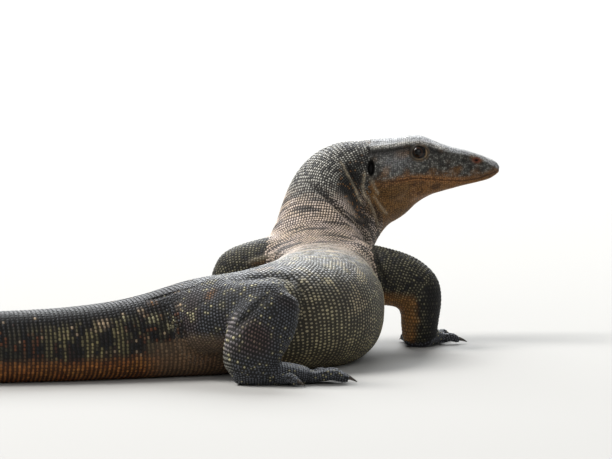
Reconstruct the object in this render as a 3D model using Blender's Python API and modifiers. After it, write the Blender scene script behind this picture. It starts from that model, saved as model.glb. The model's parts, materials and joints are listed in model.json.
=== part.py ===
# A water monitor lizard at life size, lying on the floor with its head turned to its right.
# Metres, +Z up, floor at z = 0. The tail runs towards -X and the snout points along +X.
# The animal is lofted whole from rings, fused, smoothed and then parted with thin cuts.
import math
from collections import namedtuple

import bmesh
import bpy
import numpy as np
from mathutils import Matrix, Vector

MM = 0.001

# Main sizes. Places are measured from the floor under the hips until the last step,
# which moves them so that the origin is the middle of the whole animal's footprint.
FOOTPRINT_MIDDLE = (-0.3015, 0.150)
VOXEL = 1.5 * MM
CUT_GAP = 0.3 * MM
FIRST_CUT = 0.1 * MM
FLOOR_SNAP = 0.15 * MM
SLIVER = 0.12 * MM

# A ring across the body: its middle, half width, and reach above and below the middle.
Ring = namedtuple("Ring", "x y z wide up down")

TAIL = [
    Ring(-0.865, 0.047, 0.0035, 0.0022, 0.0030, 0.0040),
    Ring(-0.800, 0.045, 0.0075, 0.0050, 0.0080, 0.0080),
    Ring(-0.700, 0.028, 0.0115, 0.0085, 0.0125, 0.0120),
    Ring(-0.580, -0.005, 0.0155, 0.0125, 0.0180, 0.0160),
    Ring(-0.450, -0.036, 0.0195, 0.0165, 0.0235, 0.0200),
    Ring(-0.320, -0.047, 0.0230, 0.0210, 0.0285, 0.0235),
    Ring(-0.200, -0.036, 0.0265, 0.0265, 0.0335, 0.0270),
    Ring(-0.120, -0.017, 0.0280, 0.0300, 0.0345, 0.0285),
    Ring(-0.060, 0.006, 0.0305, 0.0330, 0.0385, 0.0310),
]
TRUNK = [
    Ring(-0.005, 0.030, 0.036, 0.037, 0.047, 0.037),
    Ring(0.035, 0.052, 0.040, 0.044, 0.047, 0.041),
    Ring(0.068, 0.083, 0.043, 0.054, 0.049, 0.046),
    Ring(0.088, 0.122, 0.045, 0.061, 0.049, 0.050),
    Ring(0.096, 0.165, 0.048, 0.060, 0.046, 0.052),
    Ring(0.099, 0.205, 0.053, 0.053, 0.041, 0.0535),
    Ring(0.100, 0.245, 0.060, 0.046, 0.037, 0.044),
]
NECK = [
    Ring(0.098, 0.278, 0.075, 0.045, 0.036, 0.042),
    Ring(0.097, 0.303, 0.098, 0.039, 0.037, 0.038),
    Ring(0.104, 0.324, 0.121, 0.034, 0.0405, 0.036),
    Ring(0.121, 0.339, 0.138, 0.031, 0.0395, 0.038),
    Ring(0.146, 0.345, 0.147, 0.027, 0.0318, 0.040),
    Ring(0.172, 0.345, 0.152, 0.022, 0.022, 0.026),
]
THROAT = [
    Ring(0.214, 0.345, 0.1425, 0.0100, 0.0100, 0.0085),
    Ring(0.197, 0.345, 0.1385, 0.0125, 0.0160, 0.0100),
    Ring(0.182, 0.345, 0.1325, 0.0145, 0.0220, 0.0120),
    Ring(0.166, 0.344, 0.1245, 0.0165, 0.0280, 0.0170),
    Ring(0.147, 0.337, 0.115, 0.020, 0.030, 0.019),
    Ring(0.129, 0.319, 0.096, 0.024, 0.030, 0.020),
    Ring(0.114, 0.292, 0.072, 0.028, 0.028, 0.024),
]

# The head, in millimetres back from the snout's tip and up or down from it: its top, the
# ridge of snout and brow, the cheek at its widest, the jaw's lower edge, and the chin line.
SNOUT_TIP = Vector((0.260, 0.345, 0.157))
HeadRow = namedtuple("HeadRow", "back top ridge ridge_wide cheek cheek_wide jaw jaw_wide chin")
HEAD = [
    HeadRow(-1.6, -1.8, -2.7, 1.4, -4.4, 2.4, -6.4, 1.9, -7.2),
    HeadRow(2.6, 2.5, 0.4, 4.2, -6.5, 6.2, -9.7, 4.8, -10.5),
    HeadRow(9.0, 5.4, 3.4, 6.4, -9.5, 8.6, -13.4, 6.5, -14.2),
    HeadRow(20.0, 9.6, 7.4, 8.0, -13.0, 10.6, -16.4, 8.2, -16.9),
    HeadRow(32.0, 12.7, 9.8, 9.3, -14.8, 12.6, -19.0, 10.0, -19.6),
    HeadRow(46.0, 16.6, 11.5, 11.2, -14.2, 15.2, -22.2, 12.0, -23.4),
    HeadRow(58.0, 21.0, 15.4, 13.8, -12.6, 17.8, -25.0, 13.8, -26.5),
    HeadRow(70.0, 25.4, 20.6, 15.2, -10.5, 20.6, -28.0, 15.2, -30.0),
    HeadRow(80.0, 25.6, 20.8, 15.3, -9.5, 23.2, -31.0, 16.5, -34.0),
    HeadRow(92.0, 23.7, 18.0, 15.6, -9.5, 25.6, -34.0, 18.4, -38.0),
    HeadRow(105.0, 23.0, 15.5, 17.0, -9.5, 26.2, -36.5, 20.0, -41.0),
    HeadRow(118.0, 21.7, 13.4, 18.2, -10.0, 25.4, -38.0, 21.0, -43.0),
    HeadRow(134.0, 19.5, 10.5, 18.6, -12.0, 23.5, -39.0, 20.0, -44.0),
]
MOUTH_LINE = [(-4.0, -4.0), (3.6, -7.2), (18.0, -12.6), (32.5, -14.9), (54.0, -13.5), (72.0, -11.7), (90.0, -13.0)]
MOUTH_CORNER = (97.5, -15.0)
MOUTH_GROOVE_WIDE = 2.2
MOUTH_GROOVE_DEEP = 1.1

EYE_BACK = 72.0
EYE_UP = 10.8
EYE_OUT = 12.4
EYE_RADIUS = 7.5
LID_LONG = 7.0
LID_TALL = 5.7
LID_THICK = 1.2
EAR_BACK = 115.0
EAR_UP = -2.0
EAR_HALF = (3.3, 5.0, 7.3)
NOSTRIL_BACK = 20.0
NOSTRIL_UP = 3.6
NOSTRIL_HALF = (2.3, 2.2, 1.4)

# Limbs: rings from the body outwards.
RIGHT_ARM = [
    Ring(0.105, 0.262, 0.072, 0.026, 0.024, 0.026),
    Ring(0.130, 0.262, 0.069, 0.026, 0.025, 0.027),
    Ring(0.152, 0.261, 0.064, 0.0255, 0.0255, 0.0265),
    Ring(0.172, 0.258, 0.059, 0.0245, 0.0245, 0.0240),
    Ring(0.187, 0.254, 0.053, 0.0205, 0.0205, 0.0200),
    Ring(0.193, 0.252, 0.049, 0.0150, 0.0150, 0.0150),
]
RIGHT_FOREARM = [
    Ring(0.184, 0.252, 0.066, 0.014, 0.013, 0.013),
    Ring(0.187, 0.252, 0.056, 0.0185, 0.0175, 0.0175),
    Ring(0.1885, 0.253, 0.043, 0.0190, 0.0180, 0.0180),
    Ring(0.1880, 0.255, 0.030, 0.0180, 0.0160, 0.0160),
    Ring(0.1875, 0.258, 0.019, 0.0165, 0.0135, 0.0135),
    Ring(0.1880, 0.261, 0.010, 0.0160, 0.0125, 0.0125),
]
LEFT_ARM = [
    Ring(0.085, 0.268, 0.072, 0.026, 0.030, 0.028),
    Ring(0.060, 0.276, 0.072, 0.0245, 0.0265, 0.0250),
    Ring(0.040, 0.282, 0.071, 0.0220, 0.0220, 0.0230),
    Ring(0.023, 0.287, 0.067, 0.0195, 0.0190, 0.0200),
    Ring(0.012, 0.290, 0.062, 0.0140, 0.0140, 0.0150),
]
LEFT_FOREARM = [
    Ring(0.021, 0.289, 0.074, 0.012, 0.012, 0.012),
    Ring(0.0185, 0.290, 0.063, 0.0165, 0.0165, 0.0165),
    Ring(0.0170, 0.293, 0.049, 0.0170, 0.0170, 0.0170),
    Ring(0.0160, 0.298, 0.035, 0.0155, 0.0155, 0.0155),
    Ring(0.0160, 0.304, 0.021, 0.0135, 0.0125, 0.0125),
    Ring(0.0160, 0.310, 0.010, 0.0135, 0.0115, 0.0115),
]
RIGHT_THIGH = [
    Ring(-0.028, 0.022, 0.042, 0.024, 0.028, 0.028),
    Ring(-0.010, 0.012, 0.049, 0.028, 0.031, 0.033),
    Ring(0.012, -0.008, 0.055, 0.028, 0.0290, 0.031),
    Ring(0.033, -0.024, 0.060, 0.025, 0.0270, 0.027),
    Ring(0.053, -0.036, 0.066, 0.021, 0.0220, 0.022),
    Ring(0.0675, -0.044, 0.069, 0.016, 0.0170, 0.017),
]
RIGHT_SHIN = [
    Ring(0.0695, -0.045, 0.078, 0.012, 0.010, 0.010),
    Ring(0.0650, -0.046, 0.069, 0.0190, 0.0165, 0.0165),
    Ring(0.0565, -0.049, 0.057, 0.0255, 0.0180, 0.0180),
    Ring(0.0475, -0.052, 0.045, 0.0280, 0.0175, 0.0175),
    Ring(0.0420, -0.054, 0.033, 0.0262, 0.0165, 0.0165),
    Ring(0.0385, -0.054, 0.021, 0.0240, 0.0155, 0.0155),
    Ring(0.0370, -0.054, 0.010, 0.0205, 0.0135, 0.0135),
]
LEFT_THIGH = [
    Ring(-0.018, 0.040, 0.045, 0.026, 0.028, 0.030),
    Ring(-0.022, 0.062, 0.047, 0.0265, 0.027, 0.030),
    Ring(-0.024, 0.083, 0.048, 0.0240, 0.0245, 0.026),
    Ring(-0.023, 0.101, 0.048, 0.0205, 0.0210, 0.021),
    Ring(-0.021, 0.115, 0.047, 0.0150, 0.0155, 0.015),
]
LEFT_SHIN = [
    Ring(-0.017, 0.120, 0.049, 0.012, 0.012, 0.012),
    Ring(-0.025, 0.119, 0.043, 0.0165, 0.0165, 0.0165),
    Ring(-0.036, 0.116, 0.034, 0.0185, 0.0180, 0.0180),
    Ring(-0.048, 0.112, 0.025, 0.0165, 0.0160, 0.0160),
    Ring(-0.057, 0.110, 0.016, 0.0140, 0.0130, 0.0130),
    Ring(-0.060, 0.111, 0.010, 0.0130, 0.0110, 0.0110),
]

# Palms and soles, then the toes: each has a root, a heading in degrees from +X towards +Y,
# a length without its claw, and a half thickness.
RIGHT_PALM = [
    Ring(0.186, 0.252, 0.009, 0.0130, 0.0090, 0.0095),
    Ring(0.189, 0.270, 0.009, 0.0180, 0.0085, 0.0095),
    Ring(0.193, 0.288, 0.0075, 0.0190, 0.0065, 0.0080),
    Ring(0.195, 0.297, 0.0065, 0.0150, 0.0050, 0.0070),
]
LEFT_PALM = [
    Ring(0.016, 0.301, 0.009, 0.0115, 0.0085, 0.0095),
    Ring(0.014, 0.318, 0.008, 0.0160, 0.0080, 0.0085),
    Ring(0.011, 0.334, 0.007, 0.0170, 0.0060, 0.0075),
    Ring(0.009, 0.343, 0.006, 0.0130, 0.0045, 0.0065),
]
RIGHT_SOLE = [
    Ring(0.0225, -0.054, 0.0095, 0.0110, 0.0075, 0.0085),
    Ring(0.045, -0.052, 0.011, 0.0150, 0.0110, 0.0115),
    Ring(0.064, -0.048, 0.0105, 0.0150, 0.0090, 0.0110),
    Ring(0.080, -0.0445, 0.0090, 0.0160, 0.0075, 0.0095),
    Ring(0.088, -0.043, 0.0075, 0.0130, 0.0060, 0.0080),
]
LEFT_SOLE = [
    Ring(-0.068, 0.107, 0.009, 0.0120, 0.0095, 0.0095),
    Ring(-0.054, 0.117, 0.010, 0.0140, 0.0100, 0.0105),
    Ring(-0.040, 0.129, 0.009, 0.0145, 0.0080, 0.0095),
    Ring(-0.030, 0.140, 0.008, 0.0150, 0.0065, 0.0085),
    Ring(-0.025, 0.146, 0.007, 0.0120, 0.0050, 0.0075),
]
Toe = namedtuple("Toe", "x y heading length thick")
TOES = {
    "right_hand": [
        Toe(0.180, 0.283, 112.0, 0.019, 0.0037),
        Toe(0.186, 0.292, 92.0, 0.025, 0.0040),
        Toe(0.194, 0.295, 76.0, 0.027, 0.0041),
        Toe(0.201, 0.292, 60.0, 0.026, 0.0040),
        Toe(0.203, 0.276, 18.0, 0.022, 0.0037),
    ],
    "left_hand": [
        Toe(0.0245, 0.328, 60.0, 0.019, 0.0036),
        Toe(0.0180, 0.339, 82.0, 0.024, 0.0039),
        Toe(0.0100, 0.341, 99.0, 0.026, 0.0040),
        Toe(0.0030, 0.337, 116.0, 0.025, 0.0039),
        Toe(0.0005, 0.322, 158.0, 0.021, 0.0036),
    ],
    "right_foot": [
        Toe(0.076, -0.0335, 30.0, 0.020, 0.0040),
        Toe(0.083, -0.0360, 20.0, 0.028, 0.0044),
        Toe(0.086, -0.0420, 13.0, 0.036, 0.0047),
        Toe(0.083, -0.0500, 3.0, 0.040, 0.0046),
        Toe(0.062, -0.0590, -38.0, 0.023, 0.0041),
    ],
    "left_foot": [
        Toe(-0.024, 0.1280, 30.0, 0.018, 0.0040),
        Toe(-0.022, 0.1370, 42.0, 0.026, 0.0044),
        Toe(-0.024, 0.1440, 52.0, 0.034, 0.0046),
        Toe(-0.032, 0.1470, 64.0, 0.038, 0.0045),
        Toe(-0.052, 0.1290, 108.0, 0.022, 0.0041),
    ],
}
# Along a toe: share of its length, height of its middle and its girth, in half thicknesses.
TOE_PROFILE = [(-0.35, 1.5, 1.0), (0.0, 1.45, 1.15), (0.30, 1.35, 1.05), (0.62, 1.75, 1.15), (0.86, 1.2, 0.95),
               (1.0, 0.95, 0.68)]
CLAW_LONG = 0.0115
CLAW_ROOT = 0.0022
EGG_SIDES = 14
CLAW_SIDES = 6
CLAW_SUNK = 0.35
CLAW_TIP_UP = 0.0008

# Muscles and bony points that stand out under the skin: middle, half sizes and heading.
Bulge = namedtuple("Bulge", "x y z long wide tall heading")
BULGES = [
    Bulge(0.128, 0.247, 0.070, 0.030, 0.020, 0.026, 80.0),
    Bulge(0.072, 0.252, 0.070, 0.030, 0.018, 0.024, 100.0),
    Bulge(0.075, 0.290, 0.092, 0.026, 0.021, 0.024, 105.0),
    Bulge(0.012, -0.006, 0.062, 0.032, 0.022, 0.026, -35.0),
    Bulge(0.044, -0.052, 0.044, 0.016, 0.019, 0.026, 0.0),
    Bulge(0.163, 0.3235, 0.140, 0.016, 0.0075, 0.015, 0.0),
    Bulge(0.163, 0.3665, 0.140, 0.016, 0.0075, 0.015, 0.0),
]

# The thin cuts: middle, direction across the cut, and half sizes sideways and upwards.
Cut = namedtuple("Cut", "middle normal side rise")
CUTS = [
    Cut((0.138, 0.343, 0.138), (0.93, 0.28, 0.12), 0.056, 0.072),
    Cut((0.099, 0.305, 0.100), (0.0, 0.66, 0.75), 0.062, 0.060),
    Cut((0.0985, 0.190, 0.050), (0.08, 1.0, 0.0), 0.075, 0.070),
    Cut((0.048, 0.063, 0.045), (0.76, 0.65, 0.0), 0.066, 0.070),
    Cut((-0.037, 0.017, 0.035), (0.92, 0.39, 0.0), 0.046, 0.060),
    Cut((-0.130, -0.019, 0.030), (0.97, 0.24, 0.0), 0.045, 0.050),
    Cut((-0.270, -0.044, 0.026), (0.99, 0.10, 0.0), 0.040, 0.045),
    Cut((-0.420, -0.040, 0.022), (0.99, -0.14, 0.0), 0.035, 0.040),
    Cut((-0.600, 0.001, 0.016), (0.97, -0.24, 0.0), 0.030, 0.035),
    Cut((0.151, 0.262, 0.058), (1.0, 0.0, -0.10), 0.036, 0.040),
    Cut((0.189, 0.252, 0.052), (-0.63, 0.0, 0.777), 0.030, 0.030),
    Cut((0.188, 0.258, 0.0185), (0.0, 0.0, 1.0), 0.030, 0.030),
    Cut((0.0500, 0.280, 0.070), (-1.0, 0.28, 0.0), 0.044, 0.048),
    Cut((0.0194, 0.288, 0.0614), (0.66, 0.0, 0.75), 0.026, 0.026),
    Cut((0.016, 0.305, 0.0175), (0.0, 0.0, 1.0), 0.024, 0.024),
    Cut((0.0035, -0.0085, 0.055), (0.358, -0.934, 0.0), 0.052, 0.060),
    Cut((0.046, -0.042, 0.0690), (-0.62, 0.62, 0.48), 0.041, 0.062),
    Cut((0.040, -0.054, 0.0215), (0.0, 0.0, 1.0), 0.032, 0.045),
    Cut((-0.0223, 0.0662, 0.050), (-0.57, 0.822, 0.0), 0.041, 0.060),
    Cut((-0.022, 0.114, 0.047), (-0.58, 0.69, -0.43), 0.046, 0.036),
    Cut((-0.050, 0.113, 0.0190), (0.0, 0.0, 1.0), 0.037, 0.037),
]
JAW_CUT_HALF_WIDE = 0.036
JAW_CUT_BACK = [(110.0, -19.0), (136.0, -24.0)]
JAW_CUT_DOWN = [(97.5, -15.0), (93.0, -75.0)]

# Each node: a point near its middle, its triangle budget and its material.
Node = namedtuple("Node", "middle triangles material")
NODES = {
    "head": Node((0.185, 0.345, 0.158), 1700, "head_skin"),
    "lower_jaw": Node((0.205, 0.345, 0.138), 480, "throat_skin"),
    "throat": Node((0.152, 0.345, 0.120), 300, "throat_skin"),
    "neck": Node((0.114, 0.328, 0.125), 500, "back_skin"),
    "chest": Node((0.100, 0.250, 0.062), 800, "back_skin"),
    "belly": Node((0.085, 0.130, 0.045), 600, "back_skin"),
    "hips": Node((0.005, 0.035, 0.038), 520, "back_skin"),
    "tail_1": Node((-0.085, -0.002, 0.030), 260, "tail_skin"),
    "tail_2": Node((-0.200, -0.036, 0.027), 240, "tail_skin"),
    "tail_3": Node((-0.345, -0.044, 0.024), 220, "tail_skin"),
    "tail_4": Node((-0.510, -0.020, 0.018), 220, "tail_skin"),
    "tail_5": Node((-0.720, 0.032, 0.012), 260, "tail_skin"),
    "right_upper_arm": Node((0.167, 0.259, 0.062), 260, "leg_skin"),
    "right_forearm": Node((0.189, 0.253, 0.037), 220, "leg_skin"),
    "right_hand": Node((0.193, 0.285, 0.008), 520, "leg_skin"),
    "left_upper_arm": Node((0.038, 0.283, 0.070), 240, "leg_skin"),
    "left_forearm": Node((0.017, 0.293, 0.042), 220, "leg_skin"),
    "left_hand": Node((0.010, 0.330, 0.008), 500, "leg_skin"),
    "right_thigh": Node((0.025, -0.025, 0.060), 340, "leg_skin"),
    "right_shin": Node((0.048, -0.051, 0.047), 320, "leg_skin"),
    "right_foot": Node((0.070, -0.048, 0.009), 560, "leg_skin"),
    "left_thigh": Node((-0.022, 0.093, 0.048), 280, "leg_skin"),
    "left_shin": Node((-0.038, 0.114, 0.034), 240, "leg_skin"),
    "left_foot": Node((-0.040, 0.130, 0.008), 520, "leg_skin"),
}
JAW_NODES = ("lower_jaw", "throat")
SKINS = {
    "back_skin": ((0.085, 0.083, 0.080), 0.55),
    "tail_skin": ((0.110, 0.070, 0.040), 0.55),
    "leg_skin": ((0.060, 0.055, 0.048), 0.55),
    "head_skin": ((0.130, 0.110, 0.085), 0.50),
    "throat_skin": ((0.170, 0.105, 0.060), 0.55),
    "eye_gloss": ((0.025, 0.016, 0.010), 0.08),
}


# Curves and lofts

def smooth_rows(rows, steps):
    """Put Catmull-Rom rows between the given ones, a number of steps from each to the next."""
    rows = np.array(rows, dtype=float)
    rows = np.vstack([2 * rows[0] - rows[1], rows, 2 * rows[-1] - rows[-2]])
    made = []
    for a, b, c, d in zip(rows, rows[1:], rows[2:], rows[3:]):
        for t in np.linspace(0.0, 1.0, steps, endpoint=False):
            bend = (c - a) * t + (2 * a - 5 * b + 4 * c - d) * t ** 2 + (3 * b - a - 3 * c + d) * t ** 3
            made.append(b + 0.5 * bend)
    made.append(rows[-2])
    return np.array(made)


def unit(vectors):
    """Scale each vector to length one."""
    return vectors / np.linalg.norm(vectors, axis=-1, keepdims=True)


def skin_rings(name, rings, group):
    """Join rings of points, each with the same number, into a closed mesh object."""
    count = len(rings[0])
    points = [tuple(point) for ring in rings for point in ring]
    faces = [tuple(reversed(range(count)))]
    for row in range(len(rings) - 1):
        start = row * count
        for side in range(count):
            after = (side + 1) % count
            faces.append((start + side, start + after, start + count + after, start + count + side))
    faces.append(tuple(range((len(rings) - 1) * count, len(rings) * count)))
    return mesh_object(name, points, faces, group)


def mesh_object(name, points, faces, group):
    """Make a mesh object from points and faces, with its faces turned outwards."""
    mesh = bpy.data.meshes.new(name)
    mesh.from_pydata(points, [], faces)
    shell = bmesh.new()
    shell.from_mesh(mesh)
    bmesh.ops.recalc_face_normals(shell, faces=shell.faces)
    shell.to_mesh(mesh)
    shell.free()
    made = bpy.data.objects.new(name, mesh)
    group.objects.link(made)
    return made


def loft(name, rings, group, up=(0.0, 0.0, 1.0), top_power=2.2, bottom_power=2.7, sides=28, steps=4):
    """A tube through the rings. Powers over 2 make the section's top or bottom squarer."""
    rows = smooth_rows(rings, steps)
    middles = rows[:, :3]
    ahead = unit(np.gradient(middles, axis=0))
    right = unit(np.cross(ahead, np.array(up)))
    above = np.cross(right, ahead)
    made = []
    for row, middle, side_axis, up_axis in zip(rows, middles, right, above):
        wide, reach_up, reach_down = row[3:]
        ring = []
        for turn in np.linspace(0.0, 2.0 * math.pi, sides, endpoint=False):
            across, height = math.cos(turn), math.sin(turn)
            power, reach = (top_power, reach_up) if height > 0 else (bottom_power, reach_down)
            across = math.copysign(abs(across) ** (2.0 / power), across) * wide
            height = math.copysign(abs(height) ** (2.0 / power), height) * reach
            ring.append(middle + across * side_axis + height * up_axis)
        made.append(ring)
    return skin_rings(name, made, group)


def head_point(back, side, up):
    """A point given in the head's own millimetres: back from the snout, to its left, and up."""
    return SNOUT_TIP + Vector((-back, side, up)) * MM


def head_loft(group):
    """The whole head: each section is a smooth closed line through its eight named points."""
    made = []
    for row in smooth_rows(HEAD, 4):
        back, top, ridge, ridge_wide, cheek, cheek_wide, jaw, jaw_wide, chin = row
        half = [(0.0, chin), (jaw_wide, jaw), (cheek_wide, cheek), (ridge_wide, ridge), (0.0, top)]
        other = [(-side, up) for side, up in reversed(half[1:-1])]
        corners = half + other
        wrapped = corners[-1:] + corners + corners[:2]
        line = smooth_rows(wrapped, 5)[5:-5]
        made.append([head_point(back, side, up) for side, up in line[:-1]])
    return skin_rings("head_loft", made, group)


def toe_rings(toe):
    """Rings along one toe, which humps over its knuckle and comes down to the claw."""
    heading = math.radians(toe.heading)
    made = []
    for share, height, girth in TOE_PROFILE:
        along = share * toe.length
        x = toe.x + along * math.cos(heading)
        y = toe.y + along * math.sin(heading)
        half = girth * toe.thick
        made.append(Ring(x, y, height * toe.thick, half, half, half))
    return made


def claw(name, toe, group):
    """A curved, pointed claw whose root is sunk in the toe's tip."""
    heading = math.radians(toe.heading)
    ahead = Vector((math.cos(heading), math.sin(heading), 0.0))
    root = Vector((toe.x, toe.y, 0.0)) + ahead * toe.length
    rings = []
    for share in np.linspace(0.0, 0.94, 4):
        along = (share - CLAW_SUNK) * CLAW_LONG
        height = toe.thick * 1.15 * math.cos(share * 0.46 * math.pi) + CLAW_TIP_UP
        size = CLAW_ROOT * (1.0 - share) ** 0.8 + 0.12 * MM
        rings.append(Ring(*(root + ahead * along)[:2], height, size * 0.75, size, size))
    return loft(name, rings, group, sides=CLAW_SIDES, steps=1, top_power=2.0, bottom_power=2.0)


def bulge(name, shape, group):
    """An egg of muscle or bone, fused with the body around it."""
    mesh = bpy.data.meshes.new(name)
    ball = bmesh.new()
    bmesh.ops.create_uvsphere(ball, u_segments=24, v_segments=12, radius=1.0)
    size = Matrix.Diagonal((shape.long, shape.wide, shape.tall, 1.0))
    turn = Matrix.Rotation(math.radians(shape.heading), 4, "Z")
    place = Matrix.Translation((shape.x, shape.y, shape.z))
    bmesh.ops.transform(ball, matrix=place @ turn @ size, verts=ball.verts)
    ball.to_mesh(mesh)
    ball.free()
    made = bpy.data.objects.new(name, mesh)
    group.objects.link(made)
    return made


# Working on meshes

def evaluated_mesh(thing):
    """A new mesh of the object as its modifiers leave it."""
    seen = thing.evaluated_get(bpy.context.evaluated_depsgraph_get())
    return bpy.data.meshes.new_from_object(seen)


def apply_modifiers(thing):
    """Make the object's modifiers part of its mesh."""
    bpy.context.view_layer.update()
    mesh = evaluated_mesh(thing)
    thing.modifiers.clear()
    thing.data = mesh


def remove(things):
    """Take helper objects out of the file."""
    for thing in list(things):
        bpy.data.objects.remove(thing)


def combine(target, tools, operation):
    """One Boolean of the target with every object in the tools' collection, then applied."""
    join = target.modifiers.new(operation.lower(), "BOOLEAN")
    join.operation = operation
    join.operand_type = "COLLECTION"
    join.collection = tools
    join.solver = "EXACT"
    apply_modifiers(target)
    remove(tools.objects)


def boxes_touch(one, two):
    """Whether the boxes round two mesh objects overlap."""
    first, second = coordinates(one.data), coordinates(two.data)
    return bool(np.all(first.min(0) < second.max(0)) and np.all(second.min(0) < first.max(0)))


def slice_apart(target, tools):
    """Take each thin cutter that reaches the target out of it in turn."""
    for tool in [tool for tool in tools.objects if boxes_touch(target, tool)]:
        cut = target.modifiers.new(tool.name, "BOOLEAN")
        cut.operation = "DIFFERENCE"
        cut.object = tool
        cut.solver = "MANIFOLD"
    apply_modifiers(target)
    remove(tools.objects)


def coordinates(mesh):
    """The mesh's points as an array."""
    flat = np.empty(len(mesh.vertices) * 3)
    mesh.vertices.foreach_get("co", flat)
    return flat.reshape(-1, 3)


def set_coordinates(mesh, points):
    """Write an array of points back to the mesh."""
    mesh.vertices.foreach_set("co", points.ravel())
    mesh.update()


def relax(mesh, rounds, weight):
    """Smooth the points towards their neighbours, by a share that differs from place to place."""
    points = coordinates(mesh)
    ends = np.empty(len(mesh.edges) * 2, dtype=np.int64)
    mesh.edges.foreach_get("vertices", ends)
    ends = ends.reshape(-1, 2)
    one, two = np.concatenate([ends[:, 0], ends[:, 1]]), np.concatenate([ends[:, 1], ends[:, 0]])
    count = np.bincount(one, minlength=len(points))
    for _ in range(rounds):
        middle = [np.bincount(one, points[two, axis], len(points)) / count for axis in range(3)]
        points += weight[:, None] * (np.stack(middle, axis=1) - points)
    set_coordinates(mesh, points)


def softness(points):
    """How much each point is smoothed: the trunk fully, the head a little, the toes hardly."""
    share = np.full(len(points), 0.6)
    back = (SNOUT_TIP.x - points[:, 0]) / MM
    high = points[:, 2] > 0.105
    share[high & (back < 150.0)] = 0.35
    share[high & (back < 120.0)] = 0.10
    for palm in (RIGHT_PALM, LEFT_PALM, RIGHT_SOLE, LEFT_SOLE):
        middle = np.array(palm[-1][:2])
        near = np.linalg.norm(points[:, :2] - middle, axis=1)
        low = points[:, 2] < 0.022
        share[low & (near < 0.062)] = 0.03
    return share


def carve_mouth(mesh):
    """Sink a groove between the lips, along the line where the two jaws meet."""
    points = coordinates(mesh)
    back = (SNOUT_TIP.x - points[:, 0]) / MM
    up = (points[:, 2] - SNOUT_TIP.z) / MM
    line = np.array(MOUTH_LINE + [MOUTH_CORNER])
    middle = np.interp(back, line[:, 0], line[:, 1])
    fade = np.clip((MOUTH_CORNER[0] + 4.0 - back) / 8.0, 0.0, 1.0)
    fade *= np.clip(0.35 + back / 30.0, 0.35, 1.0)
    near = np.clip(1.0 - np.abs(up - middle) / MOUTH_GROOVE_WIDE, 0.0, 1.0) * fade
    axis = np.stack([np.full(len(points), SNOUT_TIP.x) - np.maximum(back, 14.0) * MM,
                     np.full(len(points), SNOUT_TIP.y), points[:, 2]], axis=1)
    inward = unit(axis - points + 1e-9)
    set_coordinates(mesh, points + inward * (near * MOUTH_GROOVE_DEEP * MM)[:, None])


def settle(mesh):
    """Flatten what reaches the floor, so that belly, tail and feet rest on one level."""
    points = coordinates(mesh)
    points[points[:, 2] < FLOOR_SNAP, 2] = 0.0
    set_coordinates(mesh, points)


# The whole body

def sculpt(group):
    """Fuse all the lofts into one closed skin, smooth it and set it on the floor."""
    loft("spine_loft", TAIL + TRUNK + NECK, group)
    loft("throat_loft", THROAT, group, bottom_power=2.0)
    head_loft(group)
    loft("right_arm_loft", RIGHT_ARM, group)
    loft("right_forearm_loft", RIGHT_FOREARM, group, up=(0.0, 1.0, 0.0))
    loft("left_arm_loft", LEFT_ARM, group)
    loft("left_forearm_loft", LEFT_FOREARM, group, up=(0.0, 1.0, 0.0))
    loft("right_thigh_loft", RIGHT_THIGH, group)
    loft("right_shin_loft", RIGHT_SHIN, group, up=(0.0, 1.0, 0.0))
    loft("left_thigh_loft", LEFT_THIGH, group)
    loft("left_shin_loft", LEFT_SHIN, group, up=(0.0, 1.0, 0.0))
    for name, palm in (("right_palm", RIGHT_PALM), ("left_palm", LEFT_PALM),
                       ("right_sole", RIGHT_SOLE), ("left_sole", LEFT_SOLE)):
        loft(name, palm, group)
    for limb, toes in TOES.items():
        for number, toe in enumerate(toes, 1):
            loft(f"{limb}_toe_{number}", toe_rings(toe), group, sides=14)
    for number, shape in enumerate(BULGES, 1):
        bulge(f"bulge_{number}", shape, group)

    joined = bmesh.new()
    for piece in group.objects:
        joined.from_mesh(piece.data)
    mesh = bpy.data.meshes.new("whole_skin")
    joined.to_mesh(mesh)
    joined.free()
    remove(group.objects)
    whole = bpy.data.objects.new("whole_skin", mesh)
    group.objects.link(whole)
    fuse = whole.modifiers.new("fuse", "REMESH")
    fuse.mode = "VOXEL"
    fuse.voxel_size = VOXEL
    apply_modifiers(whole)
    relax(whole.data, 40, softness(coordinates(whole.data)))
    carve_mouth(whole.data)
    settle(whole.data)
    return whole


# Parting the body

def slab(name, cut, thick, group):
    """A thin slab that parts two nodes."""
    ahead = Vector(cut.normal).normalized()
    side = ahead.cross(Vector((0.0, 0.0, 1.0)))
    side = side.normalized() if side.length > 0.01 else Vector((1.0, 0.0, 0.0))
    rise = ahead.cross(side)
    frame = Matrix((side, rise, ahead)).transposed().to_4x4()
    size = Matrix.Diagonal((2 * cut.side, 2 * cut.rise, thick, 1.0))
    mesh = bpy.data.meshes.new(name)
    box = bmesh.new()
    bmesh.ops.create_cube(box, size=1.0)
    bmesh.ops.transform(box, matrix=Matrix.Translation(cut.middle) @ frame @ size, verts=box.verts)
    box.to_mesh(mesh)
    box.free()
    made = bpy.data.objects.new(name, mesh)
    group.objects.link(made)
    return made


def ribbon(name, line, thick, group):
    """A thin sheet across the head, along a line given as distances back and up."""
    line = np.array(line)
    ahead = unit(np.gradient(line, axis=0))
    across = np.stack([-ahead[:, 1], ahead[:, 0]], axis=1) * thick / MM / 2
    rings = []
    for side in (-JAW_CUT_HALF_WIDE / MM, JAW_CUT_HALF_WIDE / MM):
        outline = list(line + across) + list((line - across)[::-1])
        rings.append([head_point(back, side, up) for back, up in outline])
    return skin_rings(name, rings, group)


def add_slabs(thick, group):
    """The flat cutters between the nodes, as thick as asked."""
    for number, cut in enumerate(CUTS, 1):
        slab(f"slab_{number}", cut, thick, group)


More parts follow.
